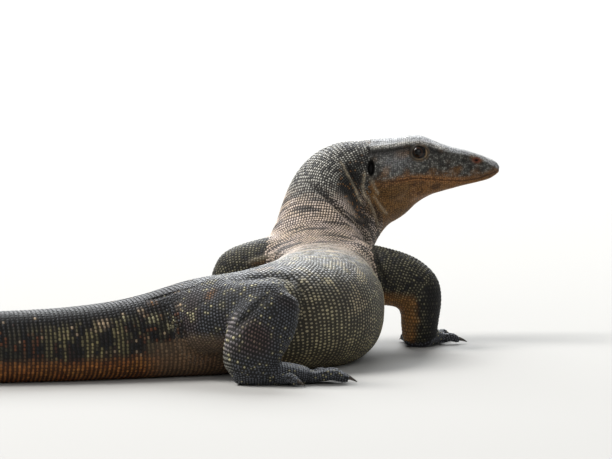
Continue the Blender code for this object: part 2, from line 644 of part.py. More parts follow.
def add_ribbons(thick, group):
    """The cutters inside the head: along the mouth and behind the lower jaw."""
    ribbon("mouth_cut", MOUTH_LINE + [MOUTH_CORNER] + JAW_CUT_BACK, thick, group)
    ribbon("jaw_cut", JAW_CUT_DOWN, thick, group)


def loose_parts(mesh):
    """The separate closed pieces of a mesh, each as a mesh of its own, largest first."""
    shell = bmesh.new()
    shell.from_mesh(mesh)
    seen = set()
    parts = []
    for start in shell.verts:
        if start in seen:
            continue
        seen.add(start)
        waiting = [start]
        island = []
        while waiting:
            point = waiting.pop()
            island.append(point)
            for edge in point.link_edges:
                other = edge.other_vert(point)
                if other not in seen:
                    seen.add(other)
                    waiting.append(other)
        parts.append(island)
    parts.sort(key=len, reverse=True)
    made = []
    for island in parts:
        number = {point: place for place, point in enumerate(island)}
        faces = {face for point in island for face in point.link_faces}
        faces = sorted(faces, key=lambda face: face.index)
        piece = bpy.data.meshes.new("part")
        piece.from_pydata([point.co[:] for point in island], [],
                          [[number[point] for point in face.verts] for face in faces])
        made.append(piece)
    shell.free()
    return made


def keep_largest(thing):
    """Keep only the object's largest closed surface."""
    thing.data = loose_parts(thing.data)[0]


def is_closed(mesh):
    """Whether every edge joins two faces and no point is pinched."""
    shell = bmesh.new()
    shell.from_mesh(mesh)
    closed = all(edge.is_manifold for edge in shell.edges) and all(point.is_manifold for point in shell.verts)
    shell.free()
    return closed


def welded(mesh, distance):
    """A copy of the mesh with the points that lie almost on top of one another merged."""
    copy = mesh.copy()
    shell = bmesh.new()
    shell.from_mesh(mesh)
    bmesh.ops.remove_doubles(shell, verts=shell.verts, dist=distance)
    shell.to_mesh(copy)
    shell.free()
    return copy


def thin_out(thing, triangles):
    """Bring the object down to about a number of triangles, by the first way that keeps it closed."""
    full = thing.data
    now = sum(len(face.vertices) - 2 for face in full.polygons)
    for distance in (0.0, SLIVER / 4, SLIVER):
        for extra in (1.0, 1.1, 1.25):
            thing.data = welded(full, distance)
            fewer = thing.modifiers.new("fewer", "DECIMATE")
            fewer.ratio = min(1.0, extra * triangles / now)
            apply_modifiers(thing)
            if is_closed(thing.data):
                return
    raise RuntimeError(f"{thing.name} stays open")


def name_parts(mesh, names, group):
    """Make an object of each loose part of the mesh, named for the node whose middle is nearest."""
    pieces = {}
    for part in loose_parts(mesh)[:len(names)]:
        centre = Vector(coordinates(part).mean(axis=0))
        name = min(names, key=lambda each: (Vector(NODES[each].middle) - centre).length)
        pieces[name] = bpy.data.objects.new(name, part)
        group.objects.link(pieces[name])
    return pieces


def part_body(whole, group, tools):
    """Cut the body into its nodes, bring each to its budget and widen the cuts."""
    add_slabs(FIRST_CUT, tools)
    slice_apart(whole, tools)
    pieces = name_parts(whole.data, [name for name in NODES if name not in JAW_NODES], group)
    add_ribbons(FIRST_CUT, tools)
    slice_apart(pieces["head"], tools)
    whole_head = pieces.pop("head")
    pieces.update(name_parts(whole_head.data, ["head", *JAW_NODES], group))
    remove([whole, whole_head])
    for name, piece in pieces.items():
        piece.name = name
        thin_out(piece, NODES[name].triangles)
        settle(piece.data)
        add_slabs(CUT_GAP, tools)
        if name == "head" or name in JAW_NODES:
            add_ribbons(CUT_GAP, tools)
        slice_apart(piece, tools)
        keep_largest(piece)
    return pieces


# Claws, eyes and the head's openings

def add_claws(pieces, tools):
    """Fuse five claws with each hand and foot."""
    for name, toes in TOES.items():
        for number, toe in enumerate(toes, 1):
            claw(f"{name}_claw_{number}", toe, tools)
        combine(pieces[name], tools, "UNION")
        keep_largest(pieces[name])


def egg(name, middle, half, group):
    """An egg-shaped solid in the head's own millimetres, used for openings and eyes."""
    mesh = bpy.data.meshes.new(name)
    ball = bmesh.new()
    bmesh.ops.create_uvsphere(ball, u_segments=EGG_SIDES, v_segments=EGG_SIDES // 2, radius=1.0)
    size = Matrix.Diagonal((*(value * MM for value in half), 1.0))
    bmesh.ops.transform(ball, matrix=Matrix.Translation(head_point(*middle)) @ size, verts=ball.verts)
    ball.to_mesh(mesh)
    ball.free()
    made = bpy.data.objects.new(name, mesh)
    group.objects.link(made)
    return made


def lid_ring(name, side, group):
    """The thick rim of both lids round one eye."""
    rings = []
    for turn in np.linspace(0.0, 2.0 * math.pi, 14, endpoint=False):
        middle = Vector((math.cos(turn) * LID_LONG, math.sin(turn) * LID_TALL))
        outward = middle.normalized()
        lean = 17.6 - 0.10 * middle.y
        ring = []
        for around in np.linspace(0.0, 2.0 * math.pi, 6, endpoint=False):
            spot = middle + outward * math.cos(around) * LID_THICK
            out = lean + math.sin(around) * LID_THICK * 1.5
            ring.append(head_point(EYE_BACK + spot.x, side * out, EYE_UP + spot.y))
        rings.append(ring)
    count = len(rings[0])
    points = [tuple(point) for ring in rings for point in ring]
    faces = []
    for row in range(len(rings)):
        here, after = row * count, (row + 1) % len(rings) * count
        for corner in range(count):
            beside = (corner + 1) % count
            faces.append((here + corner, here + beside, after + beside, after + corner))
    return mesh_object(name, points, faces, group)


def finish_head(head, group, tools):
    """Add the lids, then open the eye sockets, ears and nostrils, and set the eyes in."""
    for side in (-1, 1):
        lid_ring(f"lid_{side}", side, tools)
    combine(head, tools, "UNION")
    socket = EYE_RADIUS + CUT_GAP / MM
    for side in (-1, 1):
        egg(f"socket_{side}", (EYE_BACK, side * EYE_OUT, EYE_UP), (socket,) * 3, tools)
        egg(f"ear_{side}", (EAR_BACK, side * 27.0, EAR_UP), EAR_HALF, tools)
        egg(f"nostril_{side}", (NOSTRIL_BACK, side * 9.0, NOSTRIL_UP), NOSTRIL_HALF, tools)
    combine(head, tools, "DIFFERENCE")
    keep_largest(head)
    eyes = {}
    for side, name in ((-1, "right_eye"), (1, "left_eye")):
        eyes[name] = egg(name, (EYE_BACK, side * EYE_OUT, EYE_UP), (EYE_RADIUS,) * 3, group)
    return eyes


def skin_material(name):
    """A plain material for one kind of skin, or for the eyes."""
    colour, roughness = SKINS[name]
    material = bpy.data.materials.new(name)
    material.use_nodes = True
    shader = material.node_tree.nodes["Principled BSDF"]
    shader.inputs["Base Color"].default_value = (*colour, 1.0)
    shader.inputs["Roughness"].default_value = roughness
    shader.inputs["Metallic"].default_value = 0.0
    return material


def main():
    """Build the whole animal."""
    for thing in list(bpy.data.objects):
        bpy.data.objects.remove(thing)
    body = bpy.data.collections.new("water_monitor")
    tools = bpy.data.collections.new("cutters")
    for group in (body, tools):
        bpy.context.scene.collection.children.link(group)
    whole = sculpt(body)
    pieces = part_body(whole, body, tools)
    add_claws(pieces, tools)
    pieces.update(finish_head(pieces["head"], body, tools))

    materials = {name: skin_material(name) for name in SKINS}
    move = Matrix.Translation((-FOOTPRINT_MIDDLE[0], -FOOTPRINT_MIDDLE[1], 0.0))
    for name, piece in pieces.items():
        piece.data.transform(move)
        kind = NODES[name].material if name in NODES else "eye_gloss"
        piece.data.materials.clear()
        piece.data.materials.append(materials[kind])
        piece.data.shade_smooth()
        piece.data.set_sharp_from_angle(angle=math.radians(40.0))


main()
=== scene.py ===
# A water monitor lizard at life size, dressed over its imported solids.
# Metres, +Z up, floor at z = 0. The tail runs towards -X and the snout points along +X.
# One skin is lofted and fused as the solids were, then folded, and covered with raised scales.
import json
import math
from collections import namedtuple

import bmesh
import bpy
import numpy as np
from mathutils import Matrix, Vector, noise
from mathutils.bvhtree import BVHTree
from mathutils.kdtree import KDTree

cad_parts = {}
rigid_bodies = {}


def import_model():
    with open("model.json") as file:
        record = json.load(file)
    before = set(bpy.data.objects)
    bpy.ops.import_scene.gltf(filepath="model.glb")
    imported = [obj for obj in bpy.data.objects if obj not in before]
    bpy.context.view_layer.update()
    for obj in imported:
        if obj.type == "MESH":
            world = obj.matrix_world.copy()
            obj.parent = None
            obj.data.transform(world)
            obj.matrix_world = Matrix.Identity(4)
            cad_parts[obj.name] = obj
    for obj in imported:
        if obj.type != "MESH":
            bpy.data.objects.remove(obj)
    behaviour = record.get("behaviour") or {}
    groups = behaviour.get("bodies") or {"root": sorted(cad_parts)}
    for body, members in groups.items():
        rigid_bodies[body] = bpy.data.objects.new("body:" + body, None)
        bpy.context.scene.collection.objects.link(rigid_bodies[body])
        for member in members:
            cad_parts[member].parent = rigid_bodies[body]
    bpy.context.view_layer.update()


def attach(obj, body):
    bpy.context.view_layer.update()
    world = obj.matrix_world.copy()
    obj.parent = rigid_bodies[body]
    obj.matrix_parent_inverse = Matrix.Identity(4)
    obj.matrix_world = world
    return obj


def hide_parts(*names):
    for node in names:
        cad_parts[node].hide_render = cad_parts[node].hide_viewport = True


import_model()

MM = 0.001
CM = 0.01

# The body's numbers are the same as those of the solids. Places are measured from the floor
# under the hips until the skin is done, then moved by this much.
FOOTPRINT_MIDDLE = (-0.3015, 0.150)
MOVE = Vector((-FOOTPRINT_MIDDLE[0], -FOOTPRINT_MIDDLE[1], 0.0))
VOXEL = 1.5 * MM
FLOOR_SNAP = 0.15 * MM
SCALE_DEPTH = 0.4 * MM

# The camera: a long lens 6 m away, looking 5 degrees down, for a frame of 612 by 459.
FRAME_WIDE = 612
FRAME_TALL = 459
LENS_PIXELS = 7020.0
CAMERA_PITCH = math.radians(5.0)
CAMERA_PLACE = Vector((0.38782479, -6.11610611, 0.64937455))
SENSOR = 36.0

# A ring across the body: its middle, half width, and reach above and below the middle.
Ring = namedtuple("Ring", "x y z wide up down")

TAIL = [
    Ring(-0.865, 0.047, 0.0035, 0.0022, 0.0030, 0.0040),
    Ring(-0.800, 0.045, 0.0075, 0.0050, 0.0080, 0.0080),
    Ring(-0.700, 0.028, 0.0115, 0.0085, 0.0125, 0.0120),
    Ring(-0.580, -0.005, 0.0155, 0.0125, 0.0180, 0.0160),
    Ring(-0.450, -0.036, 0.0195, 0.0165, 0.0235, 0.0200),
    Ring(-0.320, -0.047, 0.0230, 0.0210, 0.0285, 0.0235),
    Ring(-0.200, -0.036, 0.0265, 0.0265, 0.0335, 0.0270),
    Ring(-0.120, -0.017, 0.0280, 0.0300, 0.0345, 0.0285),
    Ring(-0.060, 0.006, 0.0305, 0.0330, 0.0385, 0.0310),
]
TRUNK = [
    Ring(-0.005, 0.030, 0.036, 0.037, 0.047, 0.037),
    Ring(0.035, 0.052, 0.040, 0.044, 0.047, 0.041),
    Ring(0.068, 0.083, 0.043, 0.054, 0.049, 0.046),
    Ring(0.088, 0.122, 0.045, 0.061, 0.049, 0.050),
    Ring(0.096, 0.165, 0.048, 0.060, 0.046, 0.052),
    Ring(0.099, 0.205, 0.053, 0.053, 0.041, 0.0535),
    Ring(0.100, 0.245, 0.060, 0.046, 0.037, 0.044),
]
NECK = [
    Ring(0.098, 0.278, 0.075, 0.045, 0.036, 0.042),
    Ring(0.097, 0.303, 0.098, 0.039, 0.037, 0.038),
    Ring(0.104, 0.324, 0.121, 0.034, 0.0405, 0.036),
    Ring(0.121, 0.339, 0.138, 0.031, 0.0395, 0.038),
    Ring(0.146, 0.345, 0.147, 0.027, 0.0318, 0.040),
    Ring(0.172, 0.345, 0.152, 0.022, 0.022, 0.026),
]
THROAT = [
    Ring(0.214, 0.345, 0.1425, 0.0100, 0.0100, 0.0085),
    Ring(0.197, 0.345, 0.1385, 0.0125, 0.0160, 0.0100),
    Ring(0.182, 0.345, 0.1325, 0.0145, 0.0220, 0.0120),
    Ring(0.166, 0.344, 0.1245, 0.0165, 0.0280, 0.0170),
    Ring(0.147, 0.337, 0.115, 0.020, 0.030, 0.019),
    Ring(0.129, 0.319, 0.096, 0.024, 0.030, 0.020),
    Ring(0.114, 0.292, 0.072, 0.028, 0.028, 0.024),
]

# The head, in millimetres back from the snout's tip and up or down from it: its top, the
# ridge of snout and brow, the cheek at its widest, the jaw's lower edge, and the chin line.
SNOUT_TIP = Vector((0.260, 0.345, 0.157))
HeadRow = namedtuple("HeadRow", "back top ridge ridge_wide cheek cheek_wide jaw jaw_wide chin")
HEAD = [
    HeadRow(-1.6, -1.8, -2.7, 1.4, -4.4, 2.4, -6.4, 1.9, -7.2),
    HeadRow(2.6, 2.5, 0.4, 4.2, -6.5, 6.2, -9.7, 4.8, -10.5),
    HeadRow(9.0, 5.4, 3.4, 6.4, -9.5, 8.6, -13.4, 6.5, -14.2),
    HeadRow(20.0, 9.6, 7.4, 8.0, -13.0, 10.6, -16.4, 8.2, -16.9),
    HeadRow(32.0, 12.7, 9.8, 9.3, -14.8, 12.6, -19.0, 10.0, -19.6),
    HeadRow(46.0, 16.6, 11.5, 11.2, -14.2, 15.2, -22.2, 12.0, -23.4),
    HeadRow(58.0, 21.0, 15.4, 13.8, -12.6, 17.8, -25.0, 13.8, -26.5),
    HeadRow(70.0, 25.4, 20.6, 15.2, -10.5, 20.6, -28.0, 15.2, -30.0),
    HeadRow(80.0, 25.6, 20.8, 15.3, -9.5, 23.2, -31.0, 16.5, -34.0),
    HeadRow(92.0, 23.7, 18.0, 15.6, -9.5, 25.6, -34.0, 18.4, -38.0),
    HeadRow(105.0, 23.0, 15.5, 17.0, -9.5, 26.2, -36.5, 20.0, -41.0),
    HeadRow(118.0, 21.7, 13.4, 18.2, -10.0, 25.4, -38.0, 21.0, -43.0),
    HeadRow(134.0, 19.5, 10.5, 18.6, -12.0, 23.5, -39.0, 20.0, -44.0),
]
MOUTH_LINE = [(-4.0, -4.0), (3.6, -7.2), (18.0, -12.6), (32.5, -14.9), (54.0, -13.5), (72.0, -11.7), (90.0, -13.0)]
MOUTH_CORNER = (97.5, -15.0)
MOUTH_GROOVE_WIDE = 2.2
MOUTH_GROOVE_DEEP = 1.1

EYE_BACK = 72.0
EYE_UP = 10.8
EYE_OUT = 12.4
EYE_RADIUS = 7.5
LID_LONG = 7.0
LID_TALL = 5.7
LID_THICK = 1.2
LID_OPEN = 0.86
EAR_BACK = 115.0
EAR_UP = -2.0
EAR_HALF = (3.3, 5.0, 7.3)
NOSTRIL_BACK = 20.0
NOSTRIL_UP = 3.6
NOSTRIL_HALF = (2.3, 2.2, 1.4)

# Limbs: rings from the body outwards.
RIGHT_ARM = [
    Ring(0.105, 0.262, 0.072, 0.026, 0.024, 0.026),
    Ring(0.130, 0.262, 0.069, 0.026, 0.025, 0.027),
    Ring(0.152, 0.261, 0.064, 0.0255, 0.0255, 0.0265),
    Ring(0.172, 0.258, 0.059, 0.0245, 0.0245, 0.0240),
    Ring(0.187, 0.254, 0.053, 0.0205, 0.0205, 0.0200),
    Ring(0.193, 0.252, 0.049, 0.0150, 0.0150, 0.0150),
]
RIGHT_FOREARM = [
    Ring(0.184, 0.252, 0.066, 0.014, 0.013, 0.013),
    Ring(0.187, 0.252, 0.056, 0.0185, 0.0175, 0.0175),
    Ring(0.1885, 0.253, 0.043, 0.0190, 0.0180, 0.0180),
    Ring(0.1880, 0.255, 0.030, 0.0180, 0.0160, 0.0160),
    Ring(0.1875, 0.258, 0.019, 0.0165, 0.0135, 0.0135),
    Ring(0.1880, 0.261, 0.010, 0.0160, 0.0125, 0.0125),
]
LEFT_ARM = [
    Ring(0.085, 0.268, 0.072, 0.026, 0.030, 0.028),
    Ring(0.060, 0.276, 0.072, 0.0245, 0.0265, 0.0250),
    Ring(0.040, 0.282, 0.071, 0.0220, 0.0220, 0.0230),
    Ring(0.023, 0.287, 0.067, 0.0195, 0.0190, 0.0200),
    Ring(0.012, 0.290, 0.062, 0.0140, 0.0140, 0.0150),
]
LEFT_FOREARM = [
    Ring(0.021, 0.289, 0.074, 0.012, 0.012, 0.012),
    Ring(0.0185, 0.290, 0.063, 0.0165, 0.0165, 0.0165),
    Ring(0.0170, 0.293, 0.049, 0.0170, 0.0170, 0.0170),
    Ring(0.0160, 0.298, 0.035, 0.0155, 0.0155, 0.0155),
    Ring(0.0160, 0.304, 0.021, 0.0135, 0.0125, 0.0125),
    Ring(0.0160, 0.310, 0.010, 0.0135, 0.0115, 0.0115),
]
RIGHT_THIGH = [
    Ring(-0.028, 0.022, 0.042, 0.024, 0.028, 0.028),
    Ring(-0.010, 0.012, 0.049, 0.028, 0.031, 0.033),
    Ring(0.012, -0.008, 0.055, 0.028, 0.0290, 0.031),
    Ring(0.033, -0.024, 0.060, 0.025, 0.0270, 0.027),
    Ring(0.053, -0.036, 0.066, 0.021, 0.0220, 0.022),
    Ring(0.0675, -0.044, 0.069, 0.016, 0.0170, 0.017),
]
RIGHT_SHIN = [
    Ring(0.0695, -0.045, 0.078, 0.012, 0.010, 0.010),
    Ring(0.0650, -0.046, 0.069, 0.0190, 0.0165, 0.0165),
    Ring(0.0565, -0.049, 0.057, 0.0255, 0.0180, 0.0180),
    Ring(0.0475, -0.052, 0.045, 0.0280, 0.0175, 0.0175),
    Ring(0.0420, -0.054, 0.033, 0.0262, 0.0165, 0.0165),
    Ring(0.0385, -0.054, 0.021, 0.0240, 0.0155, 0.0155),
    Ring(0.0370, -0.054, 0.010, 0.0205, 0.0135, 0.0135),
]
LEFT_THIGH = [
    Ring(-0.018, 0.040, 0.045, 0.026, 0.028, 0.030),
    Ring(-0.022, 0.062, 0.047, 0.0265, 0.027, 0.030),
    Ring(-0.024, 0.083, 0.048, 0.0240, 0.0245, 0.026),
    Ring(-0.023, 0.101, 0.048, 0.0205, 0.0210, 0.021),
    Ring(-0.021, 0.115, 0.047, 0.0150, 0.0155, 0.015),
]
LEFT_SHIN = [
    Ring(-0.017, 0.120, 0.049, 0.012, 0.012, 0.012),
    Ring(-0.025, 0.119, 0.043, 0.0165, 0.0165, 0.0165),
    Ring(-0.036, 0.116, 0.034, 0.0185, 0.0180, 0.0180),
    Ring(-0.048, 0.112, 0.025, 0.0165, 0.0160, 0.0160),
    Ring(-0.057, 0.110, 0.016, 0.0140, 0.0130, 0.0130),
    Ring(-0.060, 0.111, 0.010, 0.0130, 0.0110, 0.0110),
]

# Palms and soles, then the toes: each has a root, a heading in degrees from +X towards +Y,
# a length without its claw, and a half thickness.
RIGHT_PALM = [
    Ring(0.186, 0.252, 0.009, 0.0130, 0.0090, 0.0095),
    Ring(0.189, 0.270, 0.009, 0.0180, 0.0085, 0.0095),
    Ring(0.193, 0.288, 0.0075, 0.0190, 0.0065, 0.0080),
    Ring(0.195, 0.297, 0.0065, 0.0150, 0.0050, 0.0070),
]
LEFT_PALM = [
    Ring(0.016, 0.301, 0.009, 0.0115, 0.0085, 0.0095),
    Ring(0.014, 0.318, 0.008, 0.0160, 0.0080, 0.0085),
    Ring(0.011, 0.334, 0.007, 0.0170, 0.0060, 0.0075),
    Ring(0.009, 0.343, 0.006, 0.0130, 0.0045, 0.0065),
]
RIGHT_SOLE = [
    Ring(0.0225, -0.054, 0.0095, 0.0110, 0.0075, 0.0085),
    Ring(0.045, -0.052, 0.011, 0.0150, 0.0110, 0.0115),
    Ring(0.064, -0.048, 0.0105, 0.0150, 0.0090, 0.0110),
    Ring(0.080, -0.0445, 0.0090, 0.0160, 0.0075, 0.0095),
    Ring(0.088, -0.043, 0.0075, 0.0130, 0.0060, 0.0080),
]
LEFT_SOLE = [
    Ring(-0.068, 0.107, 0.009, 0.0120, 0.0095, 0.0095),
    Ring(-0.054, 0.117, 0.010, 0.0140, 0.0100, 0.0105),
    Ring(-0.040, 0.129, 0.009, 0.0145, 0.0080, 0.0095),
    Ring(-0.030, 0.140, 0.008, 0.0150, 0.0065, 0.0085),
    Ring(-0.025, 0.146, 0.007, 0.0120, 0.0050, 0.0075),
]
Toe = namedtuple("Toe", "x y heading length thick")
TOES = {
    "right_hand": [
        Toe(0.180, 0.283, 112.0, 0.019, 0.0037),
        Toe(0.186, 0.292, 92.0, 0.025, 0.0040),
        Toe(0.194, 0.295, 76.0, 0.027, 0.0041),
        Toe(0.201, 0.292, 60.0, 0.026, 0.0040),
        Toe(0.203, 0.276, 18.0, 0.022, 0.0037),
    ],
    "left_hand": [
        Toe(0.0245, 0.328, 60.0, 0.019, 0.0036),
        Toe(0.0180, 0.339, 82.0, 0.024, 0.0039),
        Toe(0.0100, 0.341, 99.0, 0.026, 0.0040),
        Toe(0.0030, 0.337, 116.0, 0.025, 0.0039),
        Toe(0.0005, 0.322, 158.0, 0.021, 0.0036),
    ],
    "right_foot": [
        Toe(0.076, -0.0335, 30.0, 0.020, 0.0040),
        Toe(0.083, -0.0360, 20.0, 0.028, 0.0044),
        Toe(0.086, -0.0420, 13.0, 0.036, 0.0047),
        Toe(0.083, -0.0500, 3.0, 0.040, 0.0046),
        Toe(0.062, -0.0590, -38.0, 0.023, 0.0041),
    ],
    "left_foot": [
        Toe(-0.024, 0.1280, 30.0, 0.018, 0.0040),
        Toe(-0.022, 0.1370, 42.0, 0.026, 0.0044),
        Toe(-0.024, 0.1440, 52.0, 0.034, 0.0046),
        Toe(-0.032, 0.1470, 64.0, 0.038, 0.0045),
        Toe(-0.052, 0.1290, 108.0, 0.022, 0.0041),
    ],
}
# Along a toe: share of its length, height of its middle and its girth, in half thicknesses.
TOE_PROFILE = [(-0.35, 1.5, 1.0), (0.0, 1.45, 1.15), (0.30, 1.35, 1.05), (0.62, 1.75, 1.15), (0.86, 1.2, 0.95),
               (1.0, 0.95, 0.68)]
CLAW_LONG = 0.0115
CLAW_ROOT = 0.0022
CLAW_SIDES = 14
CLAW_SUNK = 0.35
CLAW_TIP_UP = 0.0008

# Muscles and bony points that stand out under the skin: middle, half sizes and heading.
Bulge = namedtuple("Bulge", "x y z long wide tall heading")
BULGES = [
    Bulge(0.128, 0.247, 0.070, 0.030, 0.020, 0.026, 80.0),
    Bulge(0.072, 0.252, 0.070, 0.030, 0.018, 0.024, 100.0),
    Bulge(0.075, 0.290, 0.092, 0.026, 0.021, 0.024, 105.0),
    Bulge(0.012, -0.006, 0.062, 0.032, 0.022, 0.026, -35.0),
    Bulge(0.044, -0.052, 0.044, 0.016, 0.019, 0.026, 0.0),
    Bulge(0.163, 0.3235, 0.140, 0.016, 0.0075, 0.015, 0.0),
    Bulge(0.163, 0.3665, 0.140, 0.016, 0.0075, 0.015, 0.0),
]


# Curves and lofts

def smooth_rows(rows, steps):
    """Put Catmull-Rom rows between the given ones, a number of steps from each to the next."""
    rows = np.array(rows, dtype=float)
    rows = np.vstack([2 * rows[0] - rows[1], rows, 2 * rows[-1] - rows[-2]])
    made = []
    for a, b, c, d in zip(rows, rows[1:], rows[2:], rows[3:]):
        for t in np.linspace(0.0, 1.0, steps, endpoint=False):
            bend = (c - a) * t + (2 * a - 5 * b + 4 * c - d) * t ** 2 + (3 * b - a - 3 * c + d) * t ** 3
            made.append(b + 0.5 * bend)
    made.append(rows[-2])
    return np.array(made)


def unit(vectors):
    """Scale each vector to length one."""
    return vectors / np.linalg.norm(vectors, axis=-1, keepdims=True)


def skin_rings(name, rings, group):
    """Join rings of points, each with the same number, into a closed mesh object."""
    count = len(rings[0])
    points = [tuple(point) for ring in rings for point in ring]
    faces = [tuple(reversed(range(count)))]
    for row in range(len(rings) - 1):
        start = row * count
        for side in range(count):
            after = (side + 1) % count
            faces.append((start + side, start + after, start + count + after, start + count + side))
    faces.append(tuple(range((len(rings) - 1) * count, len(rings) * count)))
    return mesh_object(name, points, faces, group)


def mesh_object(name, points, faces, group):
    """Make a mesh object from points and faces, with its faces turned outwards."""
    mesh = bpy.data.meshes.new(name)
    mesh.from_pydata(points, [], faces)
    shell = bmesh.new()
    shell.from_mesh(mesh)
    bmesh.ops.recalc_face_normals(shell, faces=shell.faces)
    shell.to_mesh(mesh)
    shell.free()
    made = bpy.data.objects.new(name, mesh)
    group.objects.link(made)
    return made


def loft(name, rings, group, up=(0.0, 0.0, 1.0), top_power=2.2, bottom_power=2.7, sides=28, steps=4):
    """A tube through the rings. Powers over 2 make the section's top or bottom squarer."""
    rows = smooth_rows(rings, steps)
    middles = rows[:, :3]
    ahead = unit(np.gradient(middles, axis=0))
    right = unit(np.cross(ahead, np.array(up)))
    above = np.cross(right, ahead)
    made = []
    for row, middle, side_axis, up_axis in zip(rows, middles, right, above):
        wide, reach_up, reach_down = row[3:]
        ring = []
        for turn in np.linspace(0.0, 2.0 * math.pi, sides, endpoint=False):
            across, height = math.cos(turn), math.sin(turn)
            power, reach = (top_power, reach_up) if height > 0 else (bottom_power, reach_down)
            across = math.copysign(abs(across) ** (2.0 / power), across) * wide
            height = math.copysign(abs(height) ** (2.0 / power), height) * reach
            ring.append(middle + across * side_axis + height * up_axis)
        made.append(ring)
    return skin_rings(name, made, group)


def head_point(back, side, up):
    """A point given in the head's own millimetres: back from the snout, to its left, and up."""
    return SNOUT_TIP + Vector((-back, side, up)) * MM


def head_loft(group):
    """The whole head: each section is a smooth closed line through its eight named points."""
    made = []
    for row in smooth_rows(HEAD, 4):
        back, top, ridge, ridge_wide, cheek, cheek_wide, jaw, jaw_wide, chin = row
        half = [(0.0, chin), (jaw_wide, jaw), (cheek_wide, cheek), (ridge_wide, ridge), (0.0, top)]
        other = [(-side, up) for side, up in reversed(half[1:-1])]
        corners = half + other
        wrapped = corners[-1:] + corners + corners[:2]
        line = smooth_rows(wrapped, 5)[5:-5]
        made.append([head_point(back, side, up) for side, up in line[:-1]])
    return skin_rings("head_loft", made, group)


def toe_rings(toe):
    """Rings along one toe, which humps over its knuckle and comes down to the claw."""
    heading = math.radians(toe.heading)
    made = []
    for share, height, girth in TOE_PROFILE:
        along = share * toe.length
        x = toe.x + along * math.cos(heading)
        y = toe.y + along * math.sin(heading)
        half = girth * toe.thick
        made.append(Ring(x, y, height * toe.thick, half, half, half))
    return made


def claw(name, toe, group):
    """A curved, pointed claw whose root is sunk in the toe's tip."""
    heading = math.radians(toe.heading)
    ahead = Vector((math.cos(heading), math.sin(heading), 0.0))
    root = Vector((toe.x, toe.y, 0.0)) + ahead * toe.length
    rings = []
    for share in np.linspace(0.0, 0.94, 4):
        along = (share - CLAW_SUNK) * CLAW_LONG
        height = toe.thick * 1.15 * math.cos(share * 0.46 * math.pi) + CLAW_TIP_UP
        size = CLAW_ROOT * (1.0 - share) ** 0.8 + 0.12 * MM
        rings.append(Ring(*(root + ahead * along)[:2], height, size * 0.75, size, size))
    return loft(name, rings, group, sides=CLAW_SIDES, steps=1, top_power=2.0, bottom_power=2.0)


def bulge(name, shape, group):
    """An egg of muscle or bone, fused with the body around it."""
    mesh = bpy.data.meshes.new(name)
    ball = bmesh.new()
    bmesh.ops.create_uvsphere(ball, u_segments=24, v_segments=12, radius=1.0)
    size = Matrix.Diagonal((shape.long, shape.wide, shape.tall, 1.0))
    turn = Matrix.Rotation(math.radians(shape.heading), 4, "Z")
    place = Matrix.Translation((shape.x, shape.y, shape.z))
    bmesh.ops.transform(ball, matrix=place @ turn @ size, verts=ball.verts)
    ball.to_mesh(mesh)
    ball.free()
    made = bpy.data.objects.new(name, mesh)
    group.objects.link(made)
    return made


# Working on meshes

def evaluated_mesh(thing):
    """A new mesh of the object as its modifiers leave it."""
    seen = thing.evaluated_get(bpy.context.evaluated_depsgraph_get())
    return bpy.data.meshes.new_from_object(seen)


def apply_modifiers(thing):
    """Make the object's modifiers part of its mesh."""
    bpy.context.view_layer.update()
    mesh = evaluated_mesh(thing)
    thing.modifiers.clear()
    thing.data = mesh


def remove(things):
    """Take helper objects out of the file."""
    for thing in list(things):
        bpy.data.objects.remove(thing)


def coordinates(mesh):
    """The mesh's points as an array."""
    flat = np.empty(len(mesh.vertices) * 3)
    mesh.vertices.foreach_get("co", flat)
    return flat.reshape(-1, 3)


def set_coordinates(mesh, points):
    """Write an array of points back to the mesh."""
    mesh.vertices.foreach_set("co", points.ravel())
    mesh.update()


def relax(mesh, rounds, weight):
    """Smooth the points towards their neighbours, by a share that differs from place to place."""
    points = coordinates(mesh)
    ends = np.empty(len(mesh.edges) * 2, dtype=np.int64)
    mesh.edges.foreach_get("vertices", ends)
    ends = ends.reshape(-1, 2)
    one, two = np.concatenate([ends[:, 0], ends[:, 1]]), np.concatenate([ends[:, 1], ends[:, 0]])
    count = np.bincount(one, minlength=len(points))
    for _ in range(rounds):
        middle = [np.bincount(one, points[two, axis], len(points)) / count for axis in range(3)]
        points += weight[:, None] * (np.stack(middle, axis=1) - points)
    set_coordinates(mesh, points)


def softness(points):
    """How much each point is smoothed: the trunk fully, the head a little, the toes hardly."""
    share = np.full(len(points), 0.6)
    back = (SNOUT_TIP.x - points[:, 0]) / MM
    high = points[:, 2] > 0.105
    share[high & (back < 150.0)] = 0.35
    share[high & (back < 120.0)] = 0.10
    for palm in (RIGHT_PALM, LEFT_PALM, RIGHT_SOLE, LEFT_SOLE):
        middle = np.array(palm[-1][:2])
        near = np.linalg.norm(points[:, :2] - middle, axis=1)
        low = points[:, 2] < 0.022
        share[low & (near < 0.062)] = 0.03
    return share


def carve_mouth(mesh):
    """Sink a groove between the lips, along the line where the two jaws meet."""
    points = coordinates(mesh)
    back = (SNOUT_TIP.x - points[:, 0]) / MM
    up = (points[:, 2] - SNOUT_TIP.z) / MM
    line = np.array(MOUTH_LINE + [MOUTH_CORNER])
    middle = np.interp(back, line[:, 0], line[:, 1])
    fade = np.clip((MOUTH_CORNER[0] + 4.0 - back) / 8.0, 0.0, 1.0)
    fade *= np.clip(0.35 + back / 30.0, 0.35, 1.0)
    near = np.clip(1.0 - np.abs(up - middle) / MOUTH_GROOVE_WIDE, 0.0, 1.0) * fade
    axis = np.stack([np.full(len(points), SNOUT_TIP.x) - np.maximum(back, 14.0) * MM,
                     np.full(len(points), SNOUT_TIP.y), points[:, 2]], axis=1)
    inward = unit(axis - points + 1e-9)
    set_coordinates(mesh, points + inward * (near * MOUTH_GROOVE_DEEP * MM)[:, None])


